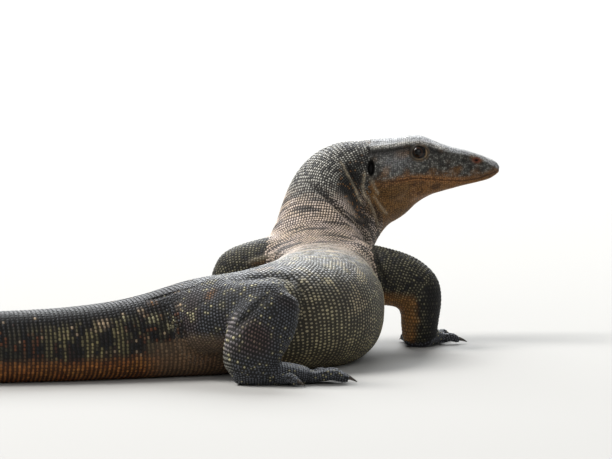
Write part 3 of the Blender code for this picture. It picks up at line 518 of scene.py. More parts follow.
def settle(mesh):
    """Flatten what reaches the floor, so that belly, tail and feet rest on one level."""
    points = coordinates(mesh)
    points[points[:, 2] < FLOOR_SNAP, 2] = 0.0
    set_coordinates(mesh, points)


def sculpt(group):
    """Fuse all the lofts into one closed skin, smooth it and set it on the floor."""
    loft("spine_loft", TAIL + TRUNK + NECK, group)
    loft("throat_loft", THROAT, group, bottom_power=2.0)
    head_loft(group)
    loft("right_arm_loft", RIGHT_ARM, group)
    loft("right_forearm_loft", RIGHT_FOREARM, group, up=(0.0, 1.0, 0.0))
    loft("left_arm_loft", LEFT_ARM, group)
    loft("left_forearm_loft", LEFT_FOREARM, group, up=(0.0, 1.0, 0.0))
    loft("right_thigh_loft", RIGHT_THIGH, group)
    loft("right_shin_loft", RIGHT_SHIN, group, up=(0.0, 1.0, 0.0))
    loft("left_thigh_loft", LEFT_THIGH, group)
    loft("left_shin_loft", LEFT_SHIN, group, up=(0.0, 1.0, 0.0))
    for name, palm in (("right_palm", RIGHT_PALM), ("left_palm", LEFT_PALM),
                       ("right_sole", RIGHT_SOLE), ("left_sole", LEFT_SOLE)):
        loft(name, palm, group)
    for limb, toes in TOES.items():
        for number, toe in enumerate(toes, 1):
            loft(f"{limb}_toe_{number}", toe_rings(toe), group, sides=14)
    for number, shape in enumerate(BULGES, 1):
        bulge(f"bulge_{number}", shape, group)

    joined = bmesh.new()
    for piece in group.objects:
        joined.from_mesh(piece.data)
    mesh = bpy.data.meshes.new("whole_skin")
    joined.to_mesh(mesh)
    joined.free()
    remove(group.objects)
    whole = bpy.data.objects.new("whole_skin", mesh)
    group.objects.link(whole)
    fuse = whole.modifiers.new("fuse", "REMESH")
    fuse.mode = "VOXEL"
    fuse.voxel_size = VOXEL
    apply_modifiers(whole)
    relax(whole.data, 40, softness(coordinates(whole.data)))
    carve_mouth(whole.data)
    settle(whole.data)
    return whole


# The skin

def finer(mesh, chosen, cuts=1):
    """Subdivide the faces whose middles are chosen."""
    shell = bmesh.new()
    shell.from_mesh(mesh)
    for face in shell.faces:
        face.tag = chosen(face.calc_center_median())
    edges = [edge for edge in shell.edges if any(face.tag for face in edge.link_faces)]
    bmesh.ops.subdivide_edges(shell, edges=edges, cuts=cuts, use_grid_fill=True)
    shell.to_mesh(mesh)
    shell.free()


def head_places(points):
    """Points of the row frame in the head's own millimetres: back from the snout, side, up."""
    tip = np.array(SNOUT_TIP + MOVE)
    return np.stack([tip[0] - points[:, 0], points[:, 1] - tip[1], points[:, 2] - tip[2]], axis=1) / MM


def smoothstep(value, low, high):
    """A soft step from 0 at low to 1 at high."""
    share = np.clip((value - low) / (high - low), 0.0, 1.0)
    return share * share * (3.0 - 2.0 * share)


def point_normals(mesh):
    """The mesh's point normals as an array."""
    flat = np.empty(len(mesh.vertices) * 3)
    mesh.vertices.foreach_get("normal", flat)
    return flat.reshape(-1, 3)


def shape_eyes(points):
    """Form the lids: a thick rim round an open slit, with a fold above and two below."""
    place = head_places(points)
    for side in (-1.0, 1.0):
        centre = np.array([EYE_BACK, side * EYE_OUT, EYE_UP])
        away = place - centre
        near = (side * place[:, 1] > 9.0) & (np.linalg.norm(away, axis=1) < 17.0)
        spread = np.hypot(away[:, 0] / LID_LONG, away[:, 2] / LID_TALL)
        reach = np.linalg.norm(away, axis=1)
        hug = EYE_RADIUS + LID_THICK
        rim = hug * np.exp(-((spread - 0.98) / 0.20) ** 2)
        lid = np.maximum(np.minimum(reach, hug + 0.2), hug - 0.1)
        wanted = reach.copy()
        cover = near & (spread > LID_OPEN) & (spread < 1.55)
        blend = 1.0 - smoothstep(spread, 1.05, 1.55)
        folds = 0.28 * np.cos((spread - 0.98) * 2.0 * math.pi / 0.23) * np.exp(-(spread - 0.98) * 3.0)
        wanted[cover] = (reach + blend * (lid - reach + folds))[cover]
        inside = near & (spread <= LID_OPEN)
        wanted[inside] = EYE_RADIUS - 1.6
        change = near & (cover | inside)
        scale = (wanted / np.maximum(reach, 0.01))[change]
        place[change] = centre + away[change] * scale[:, None]
    tip = np.array(SNOUT_TIP + MOVE)
    return np.stack([tip[0] - place[:, 0] * MM, tip[1] + place[:, 1] * MM, tip[2] + place[:, 2] * MM], axis=1)


def shape_head(points, normals):
    """Sink the ears and nostrils, sharpen the brow and the ridge behind it, and part the lips."""
    place = head_places(points)
    back, out, up = place[:, 0], np.abs(place[:, 1]), place[:, 2]
    move = np.zeros(len(points))
    ear = np.hypot((back - EAR_BACK) / EAR_HALF[0], (up - EAR_UP) / EAR_HALF[2])
    beside = (out > 12.0) & (back < 140.0)
    move -= np.where(beside, 4.6 * (1.0 - smoothstep(ear, 0.62, 1.0)), 0.0)
    move += np.where(beside, 0.7 * np.exp(-((ear - 1.22) / 0.20) ** 2), 0.0)
    nostril = np.hypot((back - NOSTRIL_BACK) / NOSTRIL_HALF[0], (up - NOSTRIL_UP) / NOSTRIL_HALF[2])
    front = (out > 4.0) & (back < 30.0)
    move -= np.where(front, 1.9 * (1.0 - smoothstep(nostril, 0.55, 1.05)), 0.0)
    move += np.where(front, 0.35 * np.exp(-((nostril - 1.35) / 0.3) ** 2), 0.0)

    # The ridge that runs from the brow back over the temple, and the hollow under it.
    ridge_up = np.interp(back, [52.0, 62.0, 72.0, 84.0, 100.0, 120.0], [14.0, 18.5, 20.6, 19.4, 17.0, 15.0])
    along = smoothstep(back, 48.0, 60.0) * (1.0 - smoothstep(back, 116.0, 124.0))
    off = up - ridge_up
    move += np.where(out > 8.0, along * 1.2 * np.exp(-((off - 0.2) / 1.4) ** 2), 0.0)
    move -= np.where(out > 8.0, along * 1.2 * np.exp(-((off + 3.6) / 2.4) ** 2), 0.0)

    # The line of the mouth, with a lip above and below it.
    line = np.array(MOUTH_LINE + [MOUTH_CORNER])
    middle = np.interp(back, line[:, 0], line[:, 1])
    fade = 1.0 - smoothstep(back, MOUTH_CORNER[0] - 4.0, MOUTH_CORNER[0] + 3.0)
    fade = fade * (0.2 + 0.8 * smoothstep(back, 4.0, 24.0))
    gap = up - middle
    move -= fade * 0.5 * np.exp(-(gap / 0.8) ** 2)
    move += fade * 0.25 * np.exp(-((np.abs(gap) - 2.2) / 1.1) ** 2)
    return points + normals * (move * MM)[:, None]


def skin_tree(mesh):
    """A search tree over the mesh's faces."""
    corners = [tuple(face.vertices) for face in mesh.polygons]
    return BVHTree.FromPolygons([tuple(point) for point in coordinates(mesh)], corners)


def seen_at(tree, across, down):
    """The place on the skin that the camera sees at a point of its frame."""
    ahead = Vector((0.0, math.cos(CAMERA_PITCH), -math.sin(CAMERA_PITCH)))
    above = Vector((0.0, math.sin(CAMERA_PITCH), math.cos(CAMERA_PITCH)))
    right = Vector((1.0, 0.0, 0.0))
    ray = ahead + right * ((across - FRAME_WIDE / 2) / LENS_PIXELS)
    ray += above * ((FRAME_TALL / 2 - down) / LENS_PIXELS)
    hit = tree.ray_cast(CAMERA_PLACE, ray.normalized())[0]
    return np.array(hit) if hit is not None else None


# Folds of the skin, by where the camera sees them: half width and rise in millimetres, how pale
# or dark they are painted (dark is painted shade in the groove), then points along the fold.
Fold = namedtuple("Fold", "wide rise tone line")
FOLDS = [
    Fold(3.4, -2.6, -0.75, [(296, 173), (308, 181), (320, 190), (333, 203), (345, 215), (358, 226), (366, 237),
                           (372, 249)]),
    Fold(4.0, 1.5, 0.0, [(300, 184), (312, 192), (328, 206), (340, 220), (352, 231), (362, 243)]),
    Fold(0.95, 0.9, 1.0, [(341, 162), (348, 175.6), (356.6, 192.5), (363, 204)]),
    Fold(0.85, 0.8, 0.8, [(365, 172), (362.5, 185.7), (365.8, 197.6)]),
    Fold(0.95, 0.9, 1.0, [(370, 177), (375, 187.4), (378, 194)]),
    Fold(0.95, 1.0, 1.0, [(367, 197), (370, 203), (374, 213), (378, 226)]),
    Fold(0.95, 0.9, 1.0, [(373.4, 195.9), (380.2, 206), (387, 214.5)]),
    Fold(2.2, -1.3, -0.45, [(346, 163), (353, 176), (361, 193), (367, 205)]),
    Fold(1.8, -1.0, -0.35, [(371, 199), (376, 210), (380, 221)]),
    Fold(1.6, -0.9, -0.6, [(369.5, 146), (368.3, 155), (368, 166), (369, 178)]),
    Fold(2.0, -2.0, -0.8, [(249, 268.5), (258, 266), (267.5, 263.5), (276, 259.5), (284, 254.5)]),
    Fold(2.0, 1.0, 0.2, [(247, 263), (258, 259), (270, 256), (280, 251)]),
    Fold(2.4, -1.8, -0.7, [(374, 246), (378, 256), (382, 270), (385.5, 285)]),
    Fold(4.2, -1.5, -0.8, [(273, 292), (262, 300), (252, 311), (242, 322), (231, 334)]),
    Fold(1.6, -1.0, -0.5, [(148, 300.5), (160, 297), (175, 292), (190, 288.5), (202, 284.5)]),
    Fold(1.8, -0.6, -0.25, [(205, 297), (215, 292), (226, 288)]),
    Fold(1.8, -0.6, -0.25, [(196, 306), (206, 300), (216, 296)]),
    Fold(9.0, 1.0, 0.0, [(226, 299), (243, 291), (260, 286), (278, 285), (291, 291)]),
    Fold(5.0, -2.0, -0.30, [(236, 284), (252, 277.5), (274, 275), (293, 280), (303, 292), (304, 308), (301, 322),
                            (296, 336)]),
    Fold(9.0, 1.6, 0.0, [(250, 322), (247, 335), (250, 350)]),
]


def placed_folds(tree):
    """The folds with their lines put on the skin."""
    made = []
    for fold in FOLDS:
        spots = [seen_at(tree, *pixel) for pixel in fold.line]
        spots = np.array([spot for spot in spots if spot is not None])
        if len(spots) > 1:
            made.append((fold, spots))
    return made


def line_distance(points, spots):
    """How far each point is from a line through the spots, and 1 along it falling to 0 at its ends."""
    best = np.full(len(points), 1.0)
    share = np.zeros(len(points))
    total = len(spots) - 1
    for number, (start, end) in enumerate(zip(spots, spots[1:])):
        step = end - start
        along = np.clip(((points - start) @ step) / (step @ step), 0.0, 1.0)
        far = np.linalg.norm(points - start - along[:, None] * step, axis=1)
        nearer = far < best
        best[nearer] = far[nearer]
        share[nearer] = (number + along[nearer]) / total
    taper = np.minimum(1.0, 5.0 * np.minimum(share, 1.0 - share) + 0.25)
    return best, taper


def fold_skin(points, normals, folds):
    """Raise or sink the skin along the folds."""
    move = np.zeros(len(points))
    for fold, spots in folds:
        low, high = spots.min(0) - 0.02, spots.max(0) + 0.02
        near = np.all((points > low) & (points < high), axis=1)
        far, taper = line_distance(points[near], spots)
        move[near] += fold.rise * MM * taper * np.exp(-(far / (fold.wide * MM)) ** 2)
    return points + normals * move[:, None]


def build_skin(group):
    """The whole skin in the row frame, a scale's depth inside the solids, with head and folds shaped."""
    skin = sculpt(group)
    mesh = skin.data
    mesh.transform(Matrix.Translation(MOVE))
    tip = SNOUT_TIP + MOVE
    neck_back = tip.x - 0.128
    finer(mesh, lambda spot: spot.x > neck_back and spot.z > 0.095)
    for side in (-1, 1):
        eye = tip + Vector((-EYE_BACK, side * EYE_OUT * 1.4, EYE_UP)) * MM
        finer(mesh, lambda spot: (spot - eye).length < 0.0125)
    head = coordinates(mesh)
    weight = np.where((head[:, 0] > neck_back - 0.002) & (head[:, 2] > 0.094), 0.5, 0.0)
    relax(mesh, 3, weight)
    points = coordinates(mesh)
    points = points - point_normals(mesh) * SCALE_DEPTH
    set_coordinates(mesh, points)
    folds = placed_folds(skin_tree(mesh))
    points = fold_skin(coordinates(mesh), point_normals(mesh), folds)
    set_coordinates(mesh, points)
    points = shape_head(coordinates(mesh), point_normals(mesh))
    points = shape_eyes(points)
    points[:, 2] = np.maximum(points[:, 2], SCALE_DEPTH * 0.75)
    set_coordinates(mesh, points)
    mesh.shade_smooth()
    return skin, folds


# Where the scales grow

# A sleeve of scales: its rings, up axis, region, pitches along and across in millimetres, and
# the share of its length over which the scales stand in rings and not in staggered rows.
Sleeve = namedtuple("Sleeve", "rings up region along across ringed", defaults=(0.0,))


def sleeve_sites(sleeve, rise=(0.0, 0.0, 1.0), powers=(2.2, 2.7)):
    """Staggered rows of scales on the sleeve: place, outward, tailward, distance, turn, side, pitches."""
    rows = smooth_rows(sleeve.rings, 8)
    middles = rows[:, :3]
    steps = np.linalg.norm(np.diff(middles, axis=0), axis=1)
    lengths = np.concatenate([[0.0], np.cumsum(steps)])
    ahead = unit(np.gradient(middles, axis=0))
    right = unit(np.cross(ahead, np.array(sleeve.up)))
    above = np.cross(right, ahead)
    turns = np.linspace(0.0, math.pi, 49)
    sites = []
    place = sleeve.along(0.0) * MM / 2
    row_number = 0
    while place < lengths[-1]:
        row = np.array([np.interp(place, lengths, rows[:, column]) for column in range(6)])
        axes = [np.array([np.interp(place, lengths, axis[:, part]) for part in range(3)]) for axis in
                (ahead, right, above)]
        forward, side_axis, up_axis = (unit(axis) for axis in axes)
        share = place / lengths[-1]
        pitch_along, pitch_across = sleeve.along(share) * MM, sleeve.across(share) * MM
        beyond = [np.interp(place + pitch_along, lengths, part) for part in (*middles.T, *right.T, *above.T)]
        next_middle, next_side, next_up = np.array(beyond[:3]), np.array(beyond[3:6]), np.array(beyond[6:])
        cosines, sines = np.cos(math.pi / 2 - turns), np.sin(math.pi / 2 - turns)
        powers_here = np.where(sines > 0, powers[0], powers[1])
        reach = np.where(sines > 0, row[4], row[5])
        wide = np.abs(cosines) ** (2.0 / powers_here) * row[3]
        high = np.sign(sines) * np.abs(sines) ** (2.0 / powers_here) * reach
        walk = np.concatenate([[0.0], np.cumsum(np.hypot(np.diff(wide), np.diff(high)))])
        count = max(2, round(walk[-1] / pitch_across))
        offset = 0.5 * (row_number % 2) if share > sleeve.ringed else 0.0
        for number in range(count + 1):
            spot = (number + offset) / count
            if spot > 1.0:
                continue
            out, tall = np.interp(spot * walk[-1], walk, wide), np.interp(spot * walk[-1], walk, high)
            for side in (1.0, -1.0):
                if side < 0 and spot in (0.0, 1.0):
                    continue
                point = row[:3] + side * out * side_axis + tall * up_axis
                after = next_middle + side * out * next_side + tall * next_up
                reach_on = np.clip(np.linalg.norm(after - point), 0.7 * pitch_along, 1.55 * pitch_along)
                sites.append((*point, *unit(point - row[:3]), *forward, place, spot, side, reach_on,
                              pitch_across, sleeve.region, math.pi / walk[-1]))
        place += pitch_along
        row_number += 1
    return np.array(sites)


def head_sites(region, pitch):
    """Rows of small plates over the head."""
    rows = smooth_rows(HEAD, 8)
    sites = []
    jitter = np.random.RandomState(11)
    back = 0.5
    row_number = 0
    while back < 134.0:
        row = np.array([np.interp(back, rows[:, 0], rows[:, column]) for column in range(9)])
        _, top, ridge, ridge_wide, cheek, cheek_wide, jaw, jaw_wide, chin = row
        half = np.array([(-ridge_wide, ridge), (0.0, top), (ridge_wide, ridge), (cheek_wide, cheek), (jaw_wide, jaw),
                         (0.0, chin), (-jaw_wide, jaw)])
        line = smooth_rows(half, 10)[10:-10]
        walk = np.concatenate([[0.0], np.cumsum(np.linalg.norm(np.diff(line, axis=0), axis=1))])
        size = pitch * (0.8 + 0.35 * smoothstep(back, 10.0, 90.0))
        count = max(2, round(walk[-1] / size))
        offset = jitter.uniform(0.0, 1.0)
        for number in range(count + 1):
            spot = (number + offset) / count
            if spot > 1.0:
                continue
            out, tall = np.interp(spot * walk[-1], walk, line[:, 0]), np.interp(spot * walk[-1], walk, line[:, 1])
            for side in (1.0, -1.0):
                if side < 0 and spot in (0.0, 1.0):
                    continue
                shift = jitter.uniform(-0.22, 0.22, size=3) * size
                point = head_point(back + shift[0], side * out + shift[1], tall + shift[2])
                if back > HEAD_BACK and tall > -12.0:
                    continue
                outward = unit(np.array([0.0, side * out, tall + 8.0]) + 1e-9)
                sites.append((*point, *outward, 1.0, 0.0, 0.0, back * MM, spot, side, size * MM, size * MM,
                              region, math.pi / (walk[-1] * MM)))
        back += size
        row_number += 1
    return np.array(sites)


# Regions of the body, as numbers that each scale carries.
TAIL_REGION, TRUNK_REGION, NECK_REGION, HEAD_REGION, FORE_REGION, HIND_REGION, FOOT_REGION = range(7)
# How far behind the snout the head's plates give way to the neck's beads, in millimetres.
HEAD_BACK = 117.0
# Columns of the table of scales.
PLACE, OUT, AHEAD = slice(0, 3), slice(3, 6), slice(6, 9)
WAY, TURN, SIDE, ALONG, ACROSS, REGION, TURN_RATE, SLEEVE = range(9, 17)
# The places of the right thigh and shin among the sleeves.
RIGHT_THIGH_SLEEVE, RIGHT_SHIN_SLEEVE = 6, 8


# How far the rows wander in each region, in millimetres, and over what length.
ROW_WANDER = np.array([0.9, 2.4, 1.6, 0.8, 1.8, 1.8, 0.6])
WANDER_LONG = 0.024
SCALE_JITTER = 0.10 * MM


def even(value):
    """A pitch that is the same all along a sleeve."""
    return lambda share: value


def all_sites():
    """Every sleeve's sites, in the order in which they claim the skin."""
    spine = TAIL + TRUNK + NECK
    rows = smooth_rows(spine, 8)
    lengths = np.concatenate([[0.0], np.cumsum(np.linalg.norm(np.diff(rows[:, :3], axis=0), axis=1))])
    tail_end = lengths[8 * len(TAIL)] / lengths[-1]
    trunk_end = lengths[8 * (len(TAIL) + len(TRUNK) - 1)] / lengths[-1]
    marks = [0.0, tail_end * 0.5, tail_end, trunk_end - 0.06, trunk_end + 0.03, 1.0]
    spine_along = lambda share: float(np.interp(share, marks, [2.8, 3.6, 3.8, 3.0, 2.9, 2.7]))
    spine_across = lambda share: float(np.interp(share, marks, [2.6, 3.0, 3.2, 2.9, 2.5, 2.2]))
    groups = [sleeve_sites(Sleeve(spine, (0, 0, 1), TRUNK_REGION, spine_along, spine_across, tail_end * 0.97))]
    groups[0][:, REGION] = np.where(groups[0][:, WAY] < tail_end * lengths[-1], TAIL_REGION,
                                    np.where(groups[0][:, WAY] < trunk_end * lengths[-1], TRUNK_REGION, NECK_REGION))
    spine_ends = head_places(groups[0][:, PLACE] + np.array(MOVE))[:, 0] > HEAD_BACK
    groups[0] = groups[0][spine_ends | (groups[0][:, 2] < 0.085)]
    groups.append(head_sites(HEAD_REGION, 1.6))
    for rings, up, region in ((RIGHT_ARM, (0, 0, 1), FORE_REGION), (LEFT_ARM, (0, 0, 1), FORE_REGION),
                              (RIGHT_FOREARM, (0, 1, 0), FORE_REGION), (LEFT_FOREARM, (0, 1, 0), FORE_REGION),
                              (RIGHT_THIGH, (0, 0, 1), HIND_REGION), (LEFT_THIGH, (0, 0, 1), HIND_REGION),
                              (RIGHT_SHIN, (0, 1, 0), HIND_REGION), (LEFT_SHIN, (0, 1, 0), HIND_REGION)):
        along, across = (2.9, 2.6) if region == FORE_REGION else (2.9, 2.8)
        groups.append(sleeve_sites(Sleeve(rings, up, region, even(along), even(across))))
    for rings in (RIGHT_PALM, LEFT_PALM, RIGHT_SOLE, LEFT_SOLE):
        groups.append(sleeve_sites(Sleeve(rings, (0, 0, 1), FOOT_REGION, even(2.3), even(2.1))))
    for limb, toes in TOES.items():
        for toe in toes:
            groups.append(sleeve_sites(Sleeve(toe_rings(toe), (0, 0, 1), FOOT_REGION, even(2.2), even(2.2))))
    tables = []
    for number, sites in enumerate(groups):
        sites[:, PLACE] += np.array(MOVE)
        tables.append(np.column_stack([sites, np.full(len(sites), float(number))]))
    return np.vstack(tables)


def wander(sites):
    """Let the rows of scales wander a little, as they do on a living animal."""
    chance = np.random.RandomState(13).normal(size=(len(sites), 3))
    far = ROW_WANDER[sites[:, REGION].astype(int)] * MM
    for site, shift, reach in zip(sites, chance, far):
        wave = np.array(noise.noise_vector(Vector(site[PLACE]) / WANDER_LONG))
        site[PLACE] += reach * wave + SCALE_JITTER * shift
    return sites


class Claims:
    """Remembers where scales already stand, so that no two crowd each other."""

    def __init__(self, cell):
        self.cell = cell
        self.held = {}

    def key(self, point):
        return tuple(int(math.floor(value / self.cell)) for value in point)

    def free(self, point, gap):
        """Whether nothing stands within the gap."""
        x, y, z = self.key(point)
        for i in (x - 1, x, x + 1):
            for j in (y - 1, y, y + 1):
                for k in (z - 1, z, z + 1):
                    for other in self.held.get((i, j, k), ()):
                        if math.dist(point, other) < gap:
                            return False
        return True

    def take(self, point):
        self.held.setdefault(self.key(point), []).append(point)


def bare(points):
    """Where no scale grows: inside the lids, ears and nostrils, and along the mouth."""
    place = head_places(points)
    back, out, up = place[:, 0], np.abs(place[:, 1]), place[:, 2]
    on_head = (back < 140.0) & (points[:, 2] > 0.09)
    lids = np.hypot((back - EYE_BACK) / LID_LONG, (up - EYE_UP) / LID_TALL) < 1.32
    ears = np.hypot((back - EAR_BACK) / EAR_HALF[0], (up - EAR_UP) / EAR_HALF[2]) < 1.08
    holes = np.hypot((back - NOSTRIL_BACK) / NOSTRIL_HALF[0], (up - NOSTRIL_UP) / NOSTRIL_HALF[2]) < 1.25
    line = np.array(MOUTH_LINE + [MOUTH_CORNER])
    lips = (np.abs(up - np.interp(back, line[:, 0], line[:, 1])) < 0.75) & (back < MOUTH_CORNER[0])
    return on_head & (((out > 8.0) & (lids | ears)) | ((out > 3.0) & holes) | lips)


def grow_scales(skin):
    """Set the scales on the skin: the sleeves' rows first, then single ones wherever a gap is left."""
    mesh = skin.data
    tree = skin_tree(mesh)
    normals = point_normals(mesh)
    points = coordinates(mesh)
    corners = [tuple(face.vertices) for face in mesh.polygons]
    claims = Claims(3.0 * MM)
    kept = []
    for site in wander(all_sites()):
        spot, _, face, far = tree.find_nearest(Vector(site[PLACE]))
        if far > 9.0 * MM:
            continue
        normal = normals[list(corners[face])].mean(axis=0)
        if normal @ site[OUT] < 0.25 * np.linalg.norm(normal):
            continue
        gap = 0.74 * min(site[ALONG], site[ACROSS])
        if not claims.free(spot, gap):
            continue
        claims.take(tuple(spot))
        scale = site.copy()
        scale[PLACE] = spot
        scale[OUT] = unit(normal)
        kept.append(scale)
    found = len(kept)
    roots = KDTree(found)
    for number, scale in enumerate(kept):
        roots.insert(Vector(scale[PLACE]), number)
    roots.balance()
    order = np.random.RandomState(7).permutation(len(points))
    for index in order:
        spot = points[index]
        _, number, far = roots.find(Vector(spot))
        near = kept[number]
        gap = max(0.86 * min(near[ALONG], near[ACROSS]), 0.60 * max(near[ALONG], near[ACROSS]))
        if far < gap or not claims.free(tuple(spot), gap):
            continue
        claims.take(tuple(spot))
        scale = near.copy()
        scale[PLACE] = spot
        scale[OUT] = normals[index]
        step = spot - near[PLACE]
        scale[WAY] += step @ near[AHEAD]
        across = np.cross(near[OUT], near[AHEAD])
        scale[TURN] = np.clip(near[TURN] + near[SIDE] * (step @ across) * near[TURN_RATE] / math.pi, 0.0, 1.0)
        smaller = 0.85
        scale[ALONG] *= smaller
        scale[ACROSS] *= smaller
        kept.append(scale)
    table = np.array(kept)
    table = table[~bare(table[:, PLACE])]
    print("scales", found, len(table))
    return table


# Markings

def tone(red, green, blue):
    """A colour given as it looks on a screen, 0 to 255, made linear."""
    value = np.array([red, green, blue]) / 255.0
    return np.where(value <= 0.04045, value / 12.92, ((value + 0.055) / 1.055) ** 2.4)


CHARCOAL = tone(42, 42, 44)
BLACK = tone(19, 18, 17)
SLATE = tone(82, 85, 91)
CREAM = tone(196, 188, 148)
PALE_CREAM = tone(214, 211, 200)
SAND = tone(204, 178, 146)
PINK = tone(196, 172, 162)
PALE_SAND = tone(232, 208, 178)
PALE_PINK = tone(226, 208, 200)
# Painted sheen: blue-grey standing in for the sky's reflection on the animal's upward faces.
SHEEN_BLUE_GREY = tone(150, 154, 160)
THROAT_BROWN = tone(124, 92, 50)
OLIVE = tone(140, 130, 92)
RUST = tone(134, 78, 42)
RUST_DARK = tone(58, 36, 24)
ORANGE_BROWN = tone(142, 98, 50)
UMBER = tone(72, 58, 44)
# Painted highlight: the pale grey laid on the head's top, where the light from above falls.
HEAD_TOP_HIGHLIGHT_GREY = tone(168, 170, 172)
CHEEK_GREY = tone(96, 95, 90)
PLUM = tone(76, 58, 55)


def mix(one, two, share):
    """Blend two colours, or two lists of colours, by a share for each point."""
    return one * (1.0 - share[:, None]) + two * share[:, None]


def waves(points, size, seed):
    """Smooth noise from 0 to 1 at the points, with features about so many metres across."""
    shift = Vector((seed * 7.1, seed * 3.7, seed * 5.3))
    return np.array([0.5 + 0.5 * noise.noise(Vector(point) / size + shift) for point in points])


def calf_back(table):
    """A share for each scale: 1 along the back edge of the right calf, where the scales form ridges."""
    spot, out = table[:, PLACE], table[:, OUT]
    on_calf = table[:, SLEEVE] == RIGHT_SHIN_SLEEVE
    return on_calf * smoothstep(-out[:, 0], 0.25, 0.65) * smoothstep(0.066 - spot[:, 2], 0.0, 0.010)


def markings(table):
    """Each scale's crown colour, the colour of the skin round it, and how full its dot is."""
    count = len(table)
    chance = np.random.RandomState(3).uniform(size=(count, 4))
    spot = table[:, PLACE]
    turn, region = table[:, TURN], table[:, REGION]
    way = table[:, WAY]
    out = table[:, OUT]
    large = waves(spot, 0.030, 1)
    medium = waves(spot, 0.011, 2)
    small = waves(spot, 0.0045, 3)
    x, y = spot[:, 0], spot[:, 1]
    crown = np.tile(CHARCOAL, (count, 1))
    ground = np.tile(BLACK * 0.7, (count, 1))
    full = 0.82 + 0.34 * chance[:, 2]

    def lay(where, share, colour, target):
        share = np.clip(share, 0.0, 1.0)
        target[where] = mix(target[where], np.broadcast_to(colour, target[where].shape), share[where])

    # Tail: dark above with few specks, bars of cream on the sides by turns, rusty rings below.
    tail = region == TAIL_REGION
    band = 0.5 + 0.5 * np.cos((way - 0.775) * 2.0 * math.pi / 0.135)
    low = smoothstep(turn + 0.05 * (medium - 0.5), 0.56, 0.66)
    flank = smoothstep(turn, 0.22, 0.36) * (1.0 - low)
    few = 0.02 + 0.35 * smoothstep(medium, 0.58, 0.76)
    crown[tail] *= 0.7
    lay(tail, (chance[:, 0] < few).astype(float) * (0.3 + 0.4 * chance[:, 2]), SAND * 0.7, crown)
    dash = waves(np.stack([way, turn * table[:, SIDE] * 0.025, 0.0 * way], axis=1), 0.0058, 6)
    dashed = smoothstep(dash + 0.22 * (chance[:, 0] - 0.5), 0.38, 0.58)
    lay(tail, dashed * (0.12 + 0.72 * band) * flank * (0.6 + 0.4 * chance[:, 1]), OLIVE * 1.15, crown)
    lay(tail, (1.0 - dashed) * smoothstep(small, 0.52, 0.62) * (1.0 - band) * flank * 0.45, RUST, crown)
    rust = mix(np.tile(RUST, (count, 1)), np.tile(ORANGE_BROWN, (count, 1)), medium)
    crown[tail] = mix(crown, rust * (0.75 + 0.6 * chance[:, 2:3]), low)[tail]
    lay(tail, low * 0.9, RUST_DARK * 0.9, ground)

    # Trunk: rows of cream beads on the flanks, darker along the back with a painted blue-grey sheen there and over the
    # hips, olive below.
    trunk = region == TRUNK_REGION
    side = smoothstep(turn, 0.18, 0.42)
    hips = 1.0 - smoothstep(x, 0.340, 0.385)
    ocelli = smoothstep(medium + 0.25 * (small - 0.5), 0.54, 0.66)
    lay(trunk, 0.45 + 0.5 * small, SLATE * 0.8, crown)
    spine = (1.0 - smoothstep(turn, 0.20, 0.36)) * (1.0 - hips)
    # Painted sheen: blue-grey on the scales along the back, standing in for the reflection of the bright sky.
    lay(trunk, spine * smoothstep(small + 0.3 * (medium - 0.5), 0.34, 0.56), SHEEN_BLUE_GREY, crown)
    full = full + 0.35 * spine * trunk
    bead = np.clip(0.22 + 0.5 * side + 0.55 * ocelli, 0.0, 1.0) * (1.0 - 0.75 * hips)
    full = full + 0.22 * ocelli * trunk
    lay(trunk, bead * (0.75 + 0.25 * chance[:, 1]), mix(np.tile(CREAM * 0.85, (count, 1)), np.tile(SAND, (count, 1)),
                                                        0.5 * large)[trunk], crown)
    sparse = (chance[:, 0] < 0.10 + 0.15 * ocelli).astype(float) * hips
    lay(trunk, sparse * 0.9, CREAM, crown)
    lay(trunk, smoothstep(turn, 0.40, 0.70) * 0.75, OLIVE * 1.3, crown)
    faint = smoothstep(large + 0.5 * (medium - 0.5), 0.42, 0.62) * side * (1.0 - hips)
    lay(trunk, faint * 0.3, CHARCOAL, crown)
    full = full - 0.08 * side * trunk
    # Painted sheen: blue-grey on the tops of the hips.
    lay(trunk, hips * (1.0 - smoothstep(turn, 0.25, 0.45)) * (0.4 + 0.5 * small), SHEEN_BLUE_GREY * 0.72, crown)
    lay(trunk, smoothstep(turn, 0.62, 0.85) * 0.6, UMBER, ground)
    lay(trunk, hips * smoothstep(turn, 0.62, 0.74), ORANGE_BROWN * 1.2, crown)
    lay(trunk, hips * smoothstep(turn, 0.62, 0.74), UMBER * 0.9, ground)

    # Shoulders and the base of the neck: wavy cross stripes of sand and slate.
    neck = region == NECK_REGION
    base = smoothstep(y + 0.05 * (large - 0.5) + 0.03 * (medium - 0.5), 0.018, 0.096)
    base *= 1.0 - smoothstep(spot[:, 2], 0.125, 0.150)
    upper = (trunk | neck)
    cross = waves(np.stack([way, turn * table[:, SIDE] * 0.028, 0.0 * way], axis=1), 0.0062, 4)
    stripe = 0.30 + 0.70 * smoothstep(cross + 0.10 * (small - 0.5), 0.33, 0.49)
    pale = mix(np.tile(PALE_SAND, (count, 1)), np.tile(PALE_PINK, (count, 1)), medium)
    striped = mix(np.tile(SLATE * 0.6, (count, 1)), pale, stripe)
    paling = base * (1.0 - smoothstep(turn, 0.62, 0.8)) * upper
    crown = mix(crown, striped * 0.90, 0.86 * paling)
    full = full + 0.50 * paling * stripe

    # Neck: white beads on black above, the sides darkened nearly to black as painted shade with orange flecks, brown
    # below.
    high = smoothstep(spot[:, 2], 0.122, 0.150)
    pale = (chance[:, 0] < 0.72).astype(float)
    lay(neck, high * 0.8, CHARCOAL, crown)
    lay(neck, high * (0.12 + 0.75 * pale), PALE_CREAM * 0.85, crown)
    lay(neck, high, BLACK * 0.5, ground)
